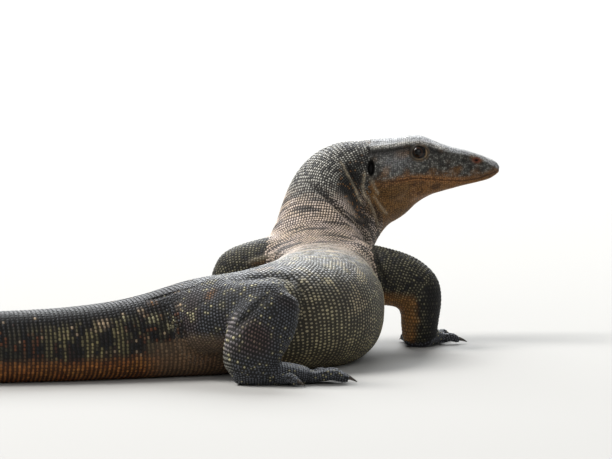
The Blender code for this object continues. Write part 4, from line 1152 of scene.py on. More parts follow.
    # Painted shade: the sides of the neck darkened nearly to black.
    lay(neck, high * smoothstep(turn, 0.40, 0.52) * 0.85, BLACK * 1.3, crown)
    flecks = (chance[:, 1] < 0.25).astype(float) * smoothstep(turn, 0.36, 0.48)
    lay(neck, high * flecks * 0.6, ORANGE_BROWN, crown)
    under = smoothstep(turn, 0.52, 0.66)
    lay(neck, under * 0.95, mix(np.tile(THROAT_BROWN, (count, 1)), np.tile(UMBER, (count, 1)), small)[neck], crown)
    lay(neck, under * 0.7, UMBER * 0.6, ground)

    # Head: grey brown cheeks, warm jaws with dark specks; a painted highlight of pale grey over the top and a whiter
    # one along the brow ridge, and painted shadow in a dark band under the ridge and behind the eye.
    head = region == HEAD_REGION
    place = head_places(spot)
    back, above = place[:, 0], place[:, 2]
    line = np.array(MOUTH_LINE + [MOUTH_CORNER, (140.0, -22.0)])
    lip = np.interp(back, line[:, 0], line[:, 1])
    ridge = np.interp(back, [0.0, 20.0, 46.0, 62.0, 72.0, 84.0, 100.0, 125.0], [-4.0, 7.4, 12.0, 17.5, 19.8, 19.0, 16.4, 14.0])
    # The head's top above the ridge, which gets the painted highlight further down.
    top = smoothstep(above - ridge, -1.2, 0.2)
    lay(head, np.ones(count), CHEEK_GREY * 0.9, crown)
    mottled = smoothstep(small + 0.4 * (medium - 0.5), 0.50, 0.62)
    lay(head, mottled * 0.7, UMBER * 0.45, crown)
    grain = waves(spot, 0.0021, 8)
    lay(head, smoothstep(grain, 0.50, 0.62) * 0.6, BLACK, crown)
    lay(head, (1.0 - smoothstep(grain, 0.36, 0.46)) * 0.5, tone(158, 156, 148), crown)
    lay(head, smoothstep(medium, 0.5, 0.7) * 0.5, ORANGE_BROWN, crown)
    jaw = smoothstep(lip + 6.0 - above, 0.0, 7.0)
    lay(head, jaw * 0.85, ORANGE_BROWN, crown)
    lay(head, jaw * smoothstep(small, 0.55, 0.68) * 0.6, BLACK * 1.5, crown)
    band = np.exp(-((above - lip - 0.3) / 2.8) ** 2) * smoothstep(back, 14.0, 34.0) * (1.0 - smoothstep(back, 84.0, 104.0))
    lay(head, band * (0.45 + 0.5 * small), tone(184, 128, 76), crown)
    temple = np.exp(-((back - 92.0) / 14.0) ** 2 - ((above - 3.0) / 8.0) ** 2)
    lay(head, temple * 0.75, tone(126, 128, 130), crown)
    # Painted shadow: a dark band under the brow ridge, running back past the eye.
    ridge_shadow = np.exp(-((above - ridge + 4.2) / 3.9) ** 2) * (0.35 * smoothstep(back, 12.0, 30.0) + 0.65 * smoothstep(
        back, 40.0, 78.0))
    lay(head, ridge_shadow * 0.95, tone(24, 22, 20), crown)
    # Painted highlight: the top of the head laid pale grey and whiter in places, as if lit from above, with slate
    # mottling over it.
    top *= 1.0 - smoothstep(back + 9.0 * (small - 0.5), 109.0, 120.0)
    lay(head, top, HEAD_TOP_HIGHLIGHT_GREY, crown)
    lay(head, top * smoothstep(medium, 0.45, 0.7) * 0.4, tone(205, 204, 200), crown)
    lay(head, top * smoothstep(small, 0.55, 0.75) * 0.4, SLATE * 0.8, crown)
    # Painted highlight: a whiter line along the brow ridge.
    brow_highlight = np.exp(-((above - ridge - 0.6) / 1.3) ** 2) * smoothstep(back, 40.0, 56.0) * (1.0 - smoothstep(back, 112.0, 119.0))
    lay(head, brow_highlight * 0.7, tone(222, 218, 208), crown)
    throat = head & (back > 80.0) & (above < lip - 3.0)
    lay(throat, np.full(count, 0.6), THROAT_BROWN, crown)
    ground[head] = crown[head] * 0.62
    full = np.where(head, 1.25 + 0.25 * chance[:, 2], full)

    # Fore limbs: close cream dots on black, warm and smooth on the inner side.
    fore = region == FORE_REGION
    lay(fore, 0.22 + 0.45 * chance[:, 1], CREAM * 0.54, crown)
    lay(fore, (chance[:, 0] < 0.22).astype(float), CHARCOAL * 0.8, crown)
    outer = smoothstep(np.where(x > 0.41, x - 0.490, 0.316 - x), 0.0, 0.008) * smoothstep(0.070 - spot[:, 2], 0.0, 0.02)
    lay(fore, outer * (0.70 + 0.25 * (chance[:, 2] < 0.7)), BLACK * 1.4, crown)
    right_limb = x > 0.41
    middle = np.where(right_limb, 0.4885, 0.3185)
    inward = np.where(right_limb, middle - x, x - middle) / MM
    lower = smoothstep(0.052 - spot[:, 2], 0.0, 0.012)
    warm = lower * smoothstep(inward + 8.0 * (medium - 0.5) + 6.0 * (small - 0.5), -1.0, 8.0)
    warm = np.clip(warm + (1.0 - lower) * smoothstep(-out[:, 2], 0.15, 0.65), 0.0, 1.0)
    lay(fore, warm * (0.65 + 0.3 * chance[:, 2]), ORANGE_BROWN * 1.25, crown)
    lay(fore, warm * 0.85, ORANGE_BROWN * 0.6, ground)
    full = full + 0.3 * warm * fore

    # Hind limbs: few bright dots on charcoal, plum brown at the middle of the calf.
    hind = region == HIND_REGION
    # Slate over the hind limbs: partly their own grey, partly a painted blue-grey sheen, as on the knee and shin.
    lay(hind, 0.42 + 0.5 * small, SLATE * 1.25, crown)
    calf = smoothstep(large, 0.42, 0.62) * smoothstep(0.085 - spot[:, 2], 0.0, 0.02) * smoothstep(spot[:, 2], 0.02, 0.035)
    lay(hind, calf * 0.7, PLUM, crown)
    heel = calf_back(table)
    lay(hind, heel * 0.75, mix(np.tile(tone(112, 110, 98), (count, 1)), np.tile(tone(136, 128, 128), (count, 1)),
                               smoothstep(spot[:, 2], 0.022, 0.036))[hind], crown)
    full = full + 0.3 * heel
    lay(hind, (chance[:, 0] < 0.12).astype(float) * (0.4 + 0.5 * chance[:, 2]), CREAM * 0.9, crown)

    # Groin: smooth brown skin under the hips and thigh.
    groin = smoothstep(x, 0.245, 0.270) * smoothstep(0.044 - spot[:, 2], 0.0, 0.010) * (
        ((tail | trunk) & (turn > 0.5)) | (table[:, SLEEVE] == RIGHT_THIGH_SLEEVE)) * (x < 0.34)
    crown = mix(crown, np.tile(UMBER * 2.6, (count, 1)), 0.85 * groin)
    ground = mix(ground, np.tile(UMBER * 1.8, (count, 1)), 0.85 * groin)

    # Hands and feet: charcoal, with painted grey highlight on their upward faces.
    foot = region == FOOT_REGION
    lay(foot, 0.35 + 0.5 * smoothstep(out[:, 2], 0.2, 0.9), SLATE * 2.2, crown)
    full = full + 0.25 * foot
    lay(foot, (chance[:, 0] < 0.08).astype(float) * 0.7, CREAM * 0.8, crown)

    crown *= (0.86 + 0.28 * chance[:, 3:4])
    return np.clip(crown, 0.0, 1.0), np.clip(ground, 0.0, 1.0), full


# Broad patches of colour, by where the camera sees their middle: radius in millimetres, colour,
# strength, and the share of scales that turn to flecks. The black ones are painted shade, the plum ones colour.
SHADE_AND_TINT_PATCHES = [
    # Painted shade: black patches on the neck's side and in the fold at the shoulder, mirrored to the other side; the
    # plum ones on the calf are its own colour.
    ((351, 175), 13.0, BLACK, 0.95, 0.12), ((347, 189), 13.0, BLACK, 0.95, 0.16),
    ((355, 204), 11.0, BLACK, 0.95, 0.16), ((362, 160), 8.0, BLACK, 0.7, 0.10), ((362, 220), 9.0, BLACK, 0.85, 0.12),
    ((258, 340), 13.0, PLUM * 1.35, 0.85, 0.0), ((250, 328), 10.0, PLUM * 1.35, 0.7, 0.0),
]


def lay_patches(table, crown, tree):
    """Lay painted shade (the black patches) or tint (the plum ones) on the scales in each patch, and on the neck also
    in its mirror image.
    """
    chance = np.random.RandomState(9).uniform(size=len(table))
    points = table[:, PLACE]
    for pixel, radius, colour, strength, flecked in SHADE_AND_TINT_PATCHES:
        spot = seen_at(tree, *pixel)
        spots = [spot]
        if spot[2] > 0.09:
            spots.append(np.array([spot[0], 2.0 * (SNOUT_TIP.y + MOVE.y) - spot[1], spot[2]]))
        for middle in spots:
            far = np.linalg.norm(points - middle, axis=1)
            share = strength * np.exp(-(far / (radius * MM)) ** 4)
            goal = np.where((chance < flecked)[:, None], ORANGE_BROWN * 0.9, colour)
            crown = mix(crown, goal, share)
    return crown


# Single blotches of colour, by where the camera sees them: radius in millimetres and colour.
BLOTCHES = [
    ((213, 292), 3.5, ORANGE_BROWN), ((210, 282), 4.0, CREAM * 0.8), ((260, 270), 5.0, SAND), ((268, 268), 4.0, SAND),
    ((152.6, 303), 3.2, ORANGE_BROWN), ((209, 296), 4.2, ORANGE_BROWN), ((101, 325), 4.0, SAND), ((106, 323), 3.2, SAND),
    ((156, 318), 3.6, CREAM), ((151, 320), 3.0, CREAM), ((180, 306), 3.0, SAND), ((141, 311), 2.6, SAND),
    ((192, 316), 3.2, CREAM), ((170, 326), 3.0, CREAM * 0.9), ((125, 318), 2.6, CREAM), ((222, 305), 3.0, CREAM),
]


def place_blotches(tree):
    """The blotches with their places put on the skin."""
    made = []
    for pixel, radius, colour in BLOTCHES:
        spot = seen_at(tree, *pixel)
        if spot is not None:
            made.append((spot, radius * MM, colour))
    return made


def paint_lids(points, colours):
    """Tan rims to the lids and a reddish rim to the nostril, with painted shade in the lid opening, in the groove round
    the lids, inside the ear and nostril, and along the mouth.
    """
    place = head_places(points)
    back, out, up = place[:, 0], np.abs(place[:, 1]), place[:, 2]
    beside = ((out > 8.0) & (back < 140.0) & (points[:, 2] > 0.1)).astype(float)
    spread = np.hypot((back - EYE_BACK) / LID_LONG, (up - EYE_UP) / LID_TALL)
    rim = (np.exp(-((spread - 0.99) / 0.085) ** 2) + 0.6 * np.exp(-((spread - 1.30) / 0.07) ** 2)) * beside
    worn = waves(points, 0.0034, 12)
    rim *= np.clip(0.62 - (back - EYE_BACK) / 14.0 - (up - EYE_UP) / 40.0, 0.12, 1.0) * smoothstep(worn, 0.28, 0.56)
    # Painted shade: black in the lid opening round the eye.
    colours = mix(colours, np.broadcast_to(BLACK, colours.shape), beside * (spread < 0.88))
    # Painted shade: a dark line in the groove round the lid's rim.
    colours = mix(colours, np.broadcast_to(tone(52, 46, 40), colours.shape), beside * 0.8 * np.exp(
        -((spread - 1.15) / 0.10) ** 2))
    colours = mix(colours, np.broadcast_to(tone(150, 124, 92), colours.shape), 0.85 * rim)
    ear = np.hypot((back - EAR_BACK) / EAR_HALF[0], (up - EAR_UP) / EAR_HALF[2])
    # Painted shade: inside the ear opening darkened nearly to black.
    colours = mix(colours, np.broadcast_to(BLACK * 0.5, colours.shape), beside * (1.0 - smoothstep(ear, 0.85, 1.2)))
    lips = np.array(MOUTH_LINE + [MOUTH_CORNER])
    gap = np.abs(up - np.interp(back, lips[:, 0], lips[:, 1]))
    # Painted shade: a dark seam along the mouth's groove.
    seam = (back < MOUTH_CORNER[0]) * (points[:, 2] > 0.1) * np.exp(-(gap / 0.7) ** 2)
    colours = mix(colours, np.broadcast_to(RUST_DARK, colours.shape), 0.6 * seam)
    front = ((out > 2.0) & (back < 34.0)).astype(float)
    hole = np.hypot((back - NOSTRIL_BACK) / NOSTRIL_HALF[0], (up - NOSTRIL_UP) / NOSTRIL_HALF[2])
    colours = mix(colours, np.broadcast_to(tone(112, 58, 42), colours.shape), 0.8 * front * np.exp(
        -((hole - 1.1) / 0.7) ** 2))
    # Painted shade: inside the nostril darkened nearly to black.
    return mix(colours, np.broadcast_to(BLACK * 0.5, colours.shape), front * (1.0 - smoothstep(hole, 0.4, 0.9)))


def tint(points, colours, folds, blotches):
    """Paint folds and blotches over the colours of points; a fold with a dark tone lays painted shade along its groove.
    """
    for fold, spots in folds:
        far, taper = line_distance(points, spots)
        share = abs(fold.tone) * taper * np.exp(-(far / (fold.wide * MM)) ** 2)
        # A dark tone is painted shade along the fold's groove.
        goal = tone(236, 218, 186) if fold.tone > 0 else BLACK * 0.5
        colours = mix(colours, np.broadcast_to(goal, colours.shape), share)
    for spot, radius, colour in blotches:
        far = np.linalg.norm(points - spot, axis=1)
        share = 0.7 * np.exp(-(far / radius) ** 2)
        colours = mix(colours, np.broadcast_to(colour, colours.shape), share)
    return colours


# The coat of scales

RIM_SIDES = 8
SCALE_LIFT = 0.40 * MM
SCALE_SUNK = 0.28 * MM
BAKE_PATCH = 0.003
# How near the crown the shoulder counts, and where the crown's colour gives way to the ground's.
SHOULDER_LEVEL = 0.6
DOT_EDGE = (0.38, 0.70)


def fast_mesh(name, points, faces, sides, group):
    """A mesh object from an array of points and lists of faces that each have so many sides."""
    mesh = bpy.data.meshes.new(name)
    mesh.vertices.add(len(points))
    mesh.vertices.foreach_set("co", points.astype(np.float32).ravel())
    loops = np.concatenate([part.ravel() for part in faces])
    starts = []
    total = 0
    for part, side in zip(faces, sides):
        starts.append(total + side * np.arange(len(part)))
        total += part.size
    mesh.loops.add(len(loops))
    mesh.loops.foreach_set("vertex_index", loops.astype(np.int32))
    starts = np.concatenate(starts)
    mesh.polygons.add(len(starts))
    mesh.polygons.foreach_set("loop_start", starts.astype(np.int32))
    mesh.update(calc_edges=True)
    made = bpy.data.objects.new(name, mesh)
    group.objects.link(made)
    return made


def paint(mesh, colours, name):
    """Give the mesh a named colour for each point."""
    layer = mesh.color_attributes.new(name, "FLOAT_COLOR", "POINT")
    filled = np.column_stack([colours, np.ones(len(colours))])
    layer.data.foreach_set("color", filled.astype(np.float32).ravel())


def scale_mesh(name, table, crown, ground, full, group):
    """One joined mesh of solid scales: each a sunk rim, a raised shoulder and a crown."""
    count = len(table)
    out = unit(table[:, OUT])
    across = unit(np.cross(out, table[:, AHEAD]) + 1e-9)
    ahead = np.cross(across, out)
    turns = np.linspace(0.0, 2.0 * math.pi, RIM_SIDES, endpoint=False)
    region = table[:, REGION]
    square = np.where(region == TAIL_REGION, 3.2, np.where(region == HEAD_REGION, 2.6, 2.1))
    cosines, sines = np.abs(np.cos(turns)), np.abs(np.sin(turns))
    power = square[:, None]
    stretch = (cosines[None, :] ** power + sines[None, :] ** power) ** (-1.0 / power)
    along, side = np.cos(turns) * stretch, np.sin(turns) * stretch
    crown_share = np.array([0.62, 0.52, 0.55, 0.70, 0.50, 0.55, 0.60])[region.astype(int)]
    crown_share = (crown_share + 0.30 * np.clip(full - 1.0, 0.0, 0.6))[:, None]
    wobble = np.random.RandomState(5).uniform(0.90, 1.06, size=(count, 1))
    barred = ((region == TAIL_REGION) | (calf_back(table) > 0.5))[:, None]
    half_along = table[:, ALONG:ALONG + 1] * np.where(barred, 0.40, 0.485) * wobble
    half_across = table[:, ACROSS:ACROSS + 1] * np.where(barred, 0.51, 0.485) * wobble
    size = np.minimum(table[:, ALONG], table[:, ACROSS])
    lift = np.where(region == HEAD_REGION, 0.11, np.where(region == FOOT_REGION, 0.13, 0.155)) * size
    lift = np.minimum(lift, SCALE_LIFT)[:, None, None]
    root = table[:, None, PLACE]

    def ring(share_along, share_across, height):
        lengthwise = (along * half_along * share_along)[:, :, None] * ahead[:, None, :]
        crosswise = (side * half_across * share_across)[:, :, None] * across[:, None, :]
        return root + lengthwise + crosswise + out[:, None, :] * height

    rim = ring(1.0, 1.0, -SCALE_SUNK)
    shoulder = ring(crown_share, np.where(barred, 0.90, crown_share), lift * 0.80)
    crest = root + out[:, None, :] * lift + ahead[:, None, :] * (half_along * 0.05)[:, :, None]
    points = np.concatenate([rim, shoulder, crest], axis=1)
    each = points.shape[1]
    points = points.reshape(-1, 3)
    points[:, 2] = np.maximum(points[:, 2], 0.0)
    start = (np.arange(count) * each)[:, None]
    k = np.arange(RIM_SIDES)
    after = (k + 1) % RIM_SIDES
    quads = np.stack([k, after, RIM_SIDES + after, RIM_SIDES + k], axis=1)
    peaks = np.stack([RIM_SIDES + k, RIM_SIDES + after, np.full(RIM_SIDES, 2 * RIM_SIDES)], axis=1)
    base = k[::-1][None, :]
    faces = [(start[:, :, None] + quads[None]).reshape(-1, 4), (start[:, :, None] + peaks[None]).reshape(-1, 3),
             (start[:, :, None] + base[None]).reshape(-1, RIM_SIDES)]
    made = fast_mesh(name, points, faces, (4, 3, RIM_SIDES), group)
    paint(made.data, np.repeat(crown, each, axis=0), "marking")
    paint(made.data, np.repeat(ground, each, axis=0), "ground")
    height = made.data.attributes.new("height", "FLOAT", "POINT")
    levels = np.concatenate([np.zeros(RIM_SIDES), np.full(RIM_SIDES, SHOULDER_LEVEL), [1.0]])
    height.data.foreach_set("value", (full[:, None] * levels[None, :]).ravel().astype(np.float32))
    made.data.shade_smooth()

    # The bake map: each scale is a small patch at its root's place on its sleeve, rolled out flat.
    sleeves, lane = np.unique(table[:, SLEEVE], return_inverse=True)
    low = np.array([table[lane == number, WAY].min() for number in range(len(sleeves))])
    high = np.array([table[lane == number, WAY].max() for number in range(len(sleeves))])
    share = (table[:, WAY] - low[lane]) / np.maximum(high - low, 1e-6)[lane]
    round_share = 0.5 + 0.5 * table[:, SIDE] * table[:, TURN]
    root_map = np.stack([0.01 + 0.98 * share, (lane + 0.04 + 0.92 * round_share) / len(sleeves)], axis=1)
    local = np.concatenate([np.stack([along, side], axis=2), 0.7 * np.stack([along, side], axis=2),
                            np.zeros((count, 1, 2))], axis=1) * BAKE_PATCH / 2
    spread = (root_map[:, None, :] + local).reshape(-1, 2)
    corners = np.empty(len(made.data.loops), dtype=np.int32)
    made.data.loops.foreach_get("vertex_index", corners)
    chart = made.data.uv_layers.new(name="OFBake")
    chart.data.foreach_set("uv", spread[corners].astype(np.float32).ravel())
    return made


# Materials

def new_material(name):
    """A material with its node tree and its shader."""
    material = bpy.data.materials.new(name)
    material.use_nodes = True
    tree = material.node_tree
    return material, tree, tree.nodes["Principled BSDF"]


def hide_material(name, roughness, grain, bump, specular=0.5, dots=False):
    """Reptile hide: the painted marking, mottled by fine noise, with a granular surface.

    On scales the marking is a dot on the crown, with the ground's colour round it.
    """
    material, tree, shader = new_material(name)
    nodes, links = tree.nodes, tree.links
    place = nodes.new("ShaderNodeTexCoord")
    marking = nodes.new("ShaderNodeAttribute")
    marking.attribute_name = "marking"
    mottle = nodes.new("ShaderNodeTexNoise")
    mottle.inputs["Scale"].default_value = 420.0
    mottle.inputs["Detail"].default_value = 4.0
    links.new(place.outputs["Object"], mottle.inputs["Vector"])
    shade = nodes.new("ShaderNodeMapRange")
    shade.inputs["To Min"].default_value = 0.62
    shade.inputs["To Max"].default_value = 1.38
    links.new(mottle.outputs["Fac"], shade.inputs["Value"])
    multiply = nodes.new("ShaderNodeVectorMath")
    multiply.operation = "SCALE"
    colour = marking.outputs["Color"]
    if dots:
        ground = nodes.new("ShaderNodeAttribute")
        ground.attribute_name = "ground"
        height = nodes.new("ShaderNodeAttribute")
        height.attribute_name = "height"
        ragged = nodes.new("ShaderNodeMath")
        ragged.operation = "MULTIPLY_ADD"
        ragged.inputs[1].default_value = 0.25
        links.new(mottle.outputs["Fac"], ragged.inputs[0])
        links.new(height.outputs["Fac"], ragged.inputs[2])
        edge = nodes.new("ShaderNodeMapRange")
        edge.interpolation_type = "SMOOTHSTEP"
        edge.inputs["From Min"].default_value = DOT_EDGE[0] + 0.12
        edge.inputs["From Max"].default_value = DOT_EDGE[1] + 0.12
        links.new(ragged.outputs["Value"], edge.inputs["Value"])
        dot = nodes.new("ShaderNodeMix")
        dot.data_type = "RGBA"
        links.new(edge.outputs["Result"], dot.inputs["Factor"])
        links.new(ground.outputs["Color"], dot.inputs["A"])
        links.new(marking.outputs["Color"], dot.inputs["B"])
        colour = dot.outputs["Result"]
    links.new(colour, multiply.inputs[0])
    links.new(shade.outputs["Result"], multiply.inputs["Scale"])
    links.new(multiply.outputs["Vector"], shader.inputs["Base Color"])
    cells = nodes.new("ShaderNodeTexVoronoi")
    cells.inputs["Scale"].default_value = grain
    links.new(place.outputs["Object"], cells.inputs["Vector"])
    relief = nodes.new("ShaderNodeBump")
    relief.inputs["Strength"].default_value = bump
    relief.inputs["Distance"].default_value = 0.0003
    relief.invert = True
    links.new(cells.outputs["Distance"], relief.inputs["Height"])
    links.new(relief.outputs["Normal"], shader.inputs["Normal"])
    gloss = nodes.new("ShaderNodeMapRange")
    gloss.inputs["To Min"].default_value = roughness - 0.08
    gloss.inputs["To Max"].default_value = roughness + 0.12
    links.new(mottle.outputs["Fac"], gloss.inputs["Value"])
    links.new(gloss.outputs["Result"], shader.inputs["Roughness"])
    shader.inputs["Specular IOR Level"].default_value = specular
    return material


def eye_material():
    """A wet eye: black pupil, brown iris with a paler edge, dark rim, seen along the eye's own Y axis."""
    material, tree, shader = new_material("eye_gloss")
    nodes, links = tree.nodes, tree.links
    place = nodes.new("ShaderNodeTexCoord")
    split = nodes.new("ShaderNodeSeparateXYZ")
    links.new(place.outputs["Object"], split.inputs["Vector"])
    flat = nodes.new("ShaderNodeCombineXYZ")
    links.new(split.outputs["X"], flat.inputs["X"])
    links.new(split.outputs["Z"], flat.inputs["Y"])
    far = nodes.new("ShaderNodeVectorMath")
    far.operation = "LENGTH"
    links.new(flat.outputs["Vector"], far.inputs[0])
    streaks = nodes.new("ShaderNodeTexNoise")
    streaks.inputs["Scale"].default_value = 900.0
    links.new(place.outputs["Object"], streaks.inputs["Vector"])
    jitter = nodes.new("ShaderNodeMath")
    jitter.operation = "MULTIPLY_ADD"
    jitter.inputs[1].default_value = 0.0009
    links.new(streaks.outputs["Fac"], jitter.inputs[0])
    links.new(far.outputs["Value"], jitter.inputs[2])
    share = nodes.new("ShaderNodeMapRange")
    share.inputs["From Max"].default_value = EYE_RADIUS * MM
    links.new(jitter.outputs["Value"], share.inputs["Value"])
    ramp = nodes.new("ShaderNodeValToRGB")
    stops = [(0.0, (2, 2, 2)), (0.40, (3, 3, 3)), (0.46, (26, 17, 11)), (0.54, (44, 30, 21)), (0.61, (54, 38, 27)),
             (0.67, (20, 15, 11)), (0.75, (10, 9, 8)), (1.0, (6, 5, 5))]
    while len(ramp.color_ramp.elements) < len(stops):
        ramp.color_ramp.elements.new(0.5)
    for element, (where, colour) in zip(ramp.color_ramp.elements, stops):
        element.position = where
        element.color = (*tone(*colour), 1.0)
    links.new(share.outputs["Result"], ramp.inputs["Fac"])
    links.new(ramp.outputs["Color"], shader.inputs["Base Color"])
    shader.inputs["Roughness"].default_value = 0.10
    shader.inputs["Specular IOR Level"].default_value = 0.22
    shader.inputs["Coat Weight"].default_value = 0.10
    shader.inputs["Coat Roughness"].default_value = 0.03
    return material


def claw_material():
    """Dark horn, paler and browner where the noise runs along it."""
    material, tree, shader = new_material("claw_horn")
    nodes, links = tree.nodes, tree.links
    place = nodes.new("ShaderNodeTexCoord")
    grain = nodes.new("ShaderNodeTexNoise")
    grain.inputs["Scale"].default_value = 500.0
    links.new(place.outputs["Object"], grain.inputs["Vector"])
    ramp = nodes.new("ShaderNodeValToRGB")
    ramp.color_ramp.elements[0].color = (*tone(24, 21, 19), 1.0)
    ramp.color_ramp.elements[1].color = (*tone(92, 78, 62), 1.0)
    ramp.color_ramp.elements[0].position = 0.35
    ramp.color_ramp.elements[1].position = 0.85
    links.new(grain.outputs["Fac"], ramp.inputs["Fac"])
    links.new(ramp.outputs["Color"], shader.inputs["Base Color"])
    shader.inputs["Roughness"].default_value = 0.32
    return material


def floor_material():
    """A plain pale floor."""
    material, _, shader = new_material("pale_floor")
    shader.inputs["Base Color"].default_value = (0.42, 0.415, 0.40, 1.0)
    shader.inputs["Roughness"].default_value = 0.9
    shader.inputs["Specular IOR Level"].default_value = 0.15
    return material


# Eyes, claws, stage, lights and camera

def eyeball(name, side, material, group):
    """One eye, with its own origin at its middle and a slight bulge of the cornea."""
    mesh = bpy.data.meshes.new(name)
    ball = bmesh.new()
    bmesh.ops.create_uvsphere(ball, u_segments=48, v_segments=32, radius=(EYE_RADIUS - 0.15) * MM)
    bmesh.ops.rotate(ball, matrix=Matrix.Rotation(math.radians(90.0), 3, "X"), verts=ball.verts)
    for point in ball.verts:
        aim = point.co.y * side / (EYE_RADIUS * MM)
        if aim > 0.75:
            point.co.y += side * (aim - 0.75) * 0.9 * MM
    ball.to_mesh(mesh)
    ball.free()
    mesh.shade_smooth()
    mesh.materials.append(material)
    made = bpy.data.objects.new(name, mesh)
    made.location = head_point(EYE_BACK, side * EYE_OUT, EYE_UP) + MOVE
    made.rotation_euler = (math.radians(-8.0), 0.0, math.radians(10.0 * side))
    group.objects.link(made)
    return made


def claw_set(limb, material, group, spare):
    """The five claws of one hand or foot, joined."""
    for number, toe in enumerate(TOES[limb], 1):
        claw(f"{limb}_claw_{number}", toe, spare)
    joined = bmesh.new()
    for piece in spare.objects:
        joined.from_mesh(piece.data)
    remove(spare.objects)
    mesh = bpy.data.meshes.new(f"{limb}_claws")
    joined.to_mesh(mesh)
    joined.free()
    mesh.transform(Matrix.Translation(MOVE))
    mesh.shade_smooth()
    mesh.materials.append(material)
    made = bpy.data.objects.new(f"{limb}_claws", mesh)
    group.objects.link(made)
    return made


def area_light(name, place, aim, size, power, colour):
    """A soft square light."""
    light = bpy.data.lights.new(name, "AREA")
    light.shape = "SQUARE"
    light.size = size
    light.energy = power
    light.color = colour
    made = bpy.data.objects.new(name, light)
    made.location = place
    made.rotation_euler = (Vector(aim) - Vector(place)).to_track_quat("-Z", "Y").to_euler()
    bpy.context.scene.collection.objects.link(made)


def set_stage():
    """Floor, soft lights, pale surroundings and the camera."""
    mesh = bpy.data.meshes.new("floor")
    plane = bmesh.new()
    bmesh.ops.create_grid(plane, x_segments=1, y_segments=1, size=30.0)
    plane.to_mesh(mesh)
    plane.free()
    mesh.materials.append(floor_material())
    floor = bpy.data.objects.new("floor", mesh)
    floor.location.z = -0.05 * MM
    bpy.context.scene.collection.objects.link(floor)
    area_light("key", (-5.0, 0.8, 5.8), (0.2, 0.0, 0.05), 3.8, 850.0, (1.0, 0.98, 0.96))
    area_light("back", (0.0, 8.0, 5.2), (0.1, 0.0, 0.05), 5.8, 1330.0, (0.96, 0.98, 1.0))
    area_light("fill", (0.2, -3.2, 1.8), (0.1, 0.0, 0.05), 2.4, 26.0, (1.0, 0.98, 0.95))
    area_light("rim", (1.9, 1.2, 1.4), (0.3, 0.1, 0.1), 1.4, 7.0, (0.95, 0.98, 1.0))
    world = bpy.data.worlds.new("studio")
    world.use_nodes = True
    world.node_tree.nodes["Background"].inputs["Color"].default_value = (0.78, 0.80, 0.82, 1.0)
    world.node_tree.nodes["Background"].inputs["Strength"].default_value = 0.34
    bpy.context.scene.world = world
    bpy.context.scene.view_settings.view_transform = "Standard"
    camera = bpy.data.cameras.new("camera")
    camera.sensor_fit = "HORIZONTAL"
    camera.sensor_width = SENSOR
    camera.lens = SENSOR * LENS_PIXELS / FRAME_WIDE
    camera.clip_end = 100.0
    viewer = bpy.data.objects.new("camera", camera)
    viewer.location = CAMERA_PLACE
    viewer.rotation_euler = (math.pi / 2 - CAMERA_PITCH, 0.0, 0.0)
    bpy.context.scene.collection.objects.link(viewer)
    bpy.context.scene.camera = viewer


FLESH = ["head", "lower_jaw", "throat", "neck", "chest", "belly", "hips", "tail_1", "tail_2", "tail_3", "tail_4", "tail_5",
         "right_upper_arm", "right_forearm", "right_hand", "left_upper_arm", "left_forearm", "left_hand",
         "right_thigh", "right_shin", "right_foot", "left_thigh", "left_shin", "left_foot"]


HEAD_MIDDLE = SNOUT_TIP.y + MOVE.y
HIPS_MIDDLE = 0.031 + MOVE.y


def coat_pieces(table):
    """Which scales go in which piece: its name, its material slot and the chosen rows of the table."""
    x = table[:, 0]
    region = table[:, REGION]
    tail_split = np.median(x[region == TAIL_REGION])
    trunk_split = np.median(table[region == TRUNK_REGION, WAY])
    hand = (region == FOOT_REGION) & (((x > 0.44) & (table[:, 1] > 0.05)) | (table[:, 1] > 0.10))
    fore = (region == FORE_REGION) | hand
    hind = (region == HIND_REGION) | ((region == FOOT_REGION) & ~hand)
    return [
        ("scales_tail_rear", "tail_skin", (region == TAIL_REGION) & (x < tail_split)),
        ("scales_tail_front", "tail_skin", (region == TAIL_REGION) & (x >= tail_split)),
        ("scales_trunk_rear", "back_skin", (region == TRUNK_REGION) & (table[:, WAY] < trunk_split)),
        ("scales_trunk_front", "back_skin", (region == TRUNK_REGION) & (table[:, WAY] >= trunk_split)),
        ("scales_neck", "back_skin", region == NECK_REGION),
        ("scales_head_right", "head_skin", (region == HEAD_REGION) & (table[:, 1] < HEAD_MIDDLE)),
        ("scales_head_left", "head_skin", (region == HEAD_REGION) & (table[:, 1] >= HEAD_MIDDLE)),
        ("scales_fore_limbs", "leg_skin", fore),
        ("scales_right_hind_limb", "leg_skin", hind & (table[:, 1] < HIPS_MIDDLE)),
        ("scales_left_hind_limb", "leg_skin", hind & (table[:, 1] >= HIPS_MIDDLE)),
    ]


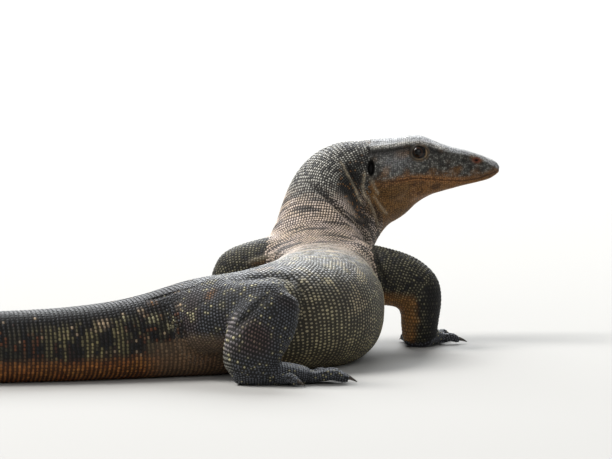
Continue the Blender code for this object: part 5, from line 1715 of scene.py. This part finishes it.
def main():
    """Dress the whole animal."""
    body = bpy.data.collections.new("dressed")
    spare = bpy.data.collections.new("spare")
    for group in (body, spare):
        bpy.context.scene.collection.children.link(group)
    skin, folds = build_skin(spare)
    skin.name = "skin"
    spare.objects.unlink(skin)
    body.objects.link(skin)
    table = grow_scales(skin)
    crown, ground, full = markings(table)
    tree = skin_tree(skin.data)
    crown = lay_patches(table, crown, tree)
    ground = np.minimum(ground, 0.35 * crown + 0.004)
    blotches = place_blotches(tree)
    crown = paint_lids(table[:, PLACE], tint(table[:, PLACE], crown, folds, blotches))
    # The folds' pale lines and painted shade also go on the ground round the scales.
    ground = mix(ground, tint(table[:, PLACE], ground, folds, []), np.full(len(table), 0.8))

    roots = KDTree(len(table))
    for number, place in enumerate(table[:, PLACE]):
        roots.insert(Vector(place), number)
    roots.balance()
    points = coordinates(skin.data)
    near = np.array([[number for _, number, _ in roots.find_n(Vector(point), 3)] for point in points])
    under = ground[near].mean(axis=1) * 0.88 + crown[near].mean(axis=1) * 0.12
    paint(skin.data, paint_lids(points, under), "marking")

    hide = hide_material("hide", 0.55, 1500.0, 0.75, specular=0.22)
    skin.data.materials.clear()
    skin.data.materials.append(hide)
    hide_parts(*FLESH)
    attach(skin, "root")

    glossy = {"tail_skin": (0.56, 0.22), "back_skin": (0.44, 0.36), "leg_skin": (0.48, 0.28), "head_skin": (0.44, 0.25)}
    coats = {slot: hide_material(f"{slot}_scales", rough, 900.0, 0.15, shine, dots=True)
             for slot, (rough, shine) in glossy.items()}
    for name, slot, chosen in coat_pieces(table):
        piece = scale_mesh(name, table[chosen], crown[chosen], ground[chosen], full[chosen], body)
        piece.data.materials.append(coats[slot])
        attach(piece, "root")
        print(name, int(chosen.sum()), "scales")

    wet = eye_material()
    for name, side in (("right_eyeball", -1), ("left_eyeball", 1)):
        eye = eyeball(name, side, wet, body)
        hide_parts(name.replace("ball", ""))
        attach(eye, "root")
    horn = claw_material()
    for limb in TOES:
        claws = claw_set(limb, horn, body, spare)
        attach(claws, "root")
    set_stage()


main()
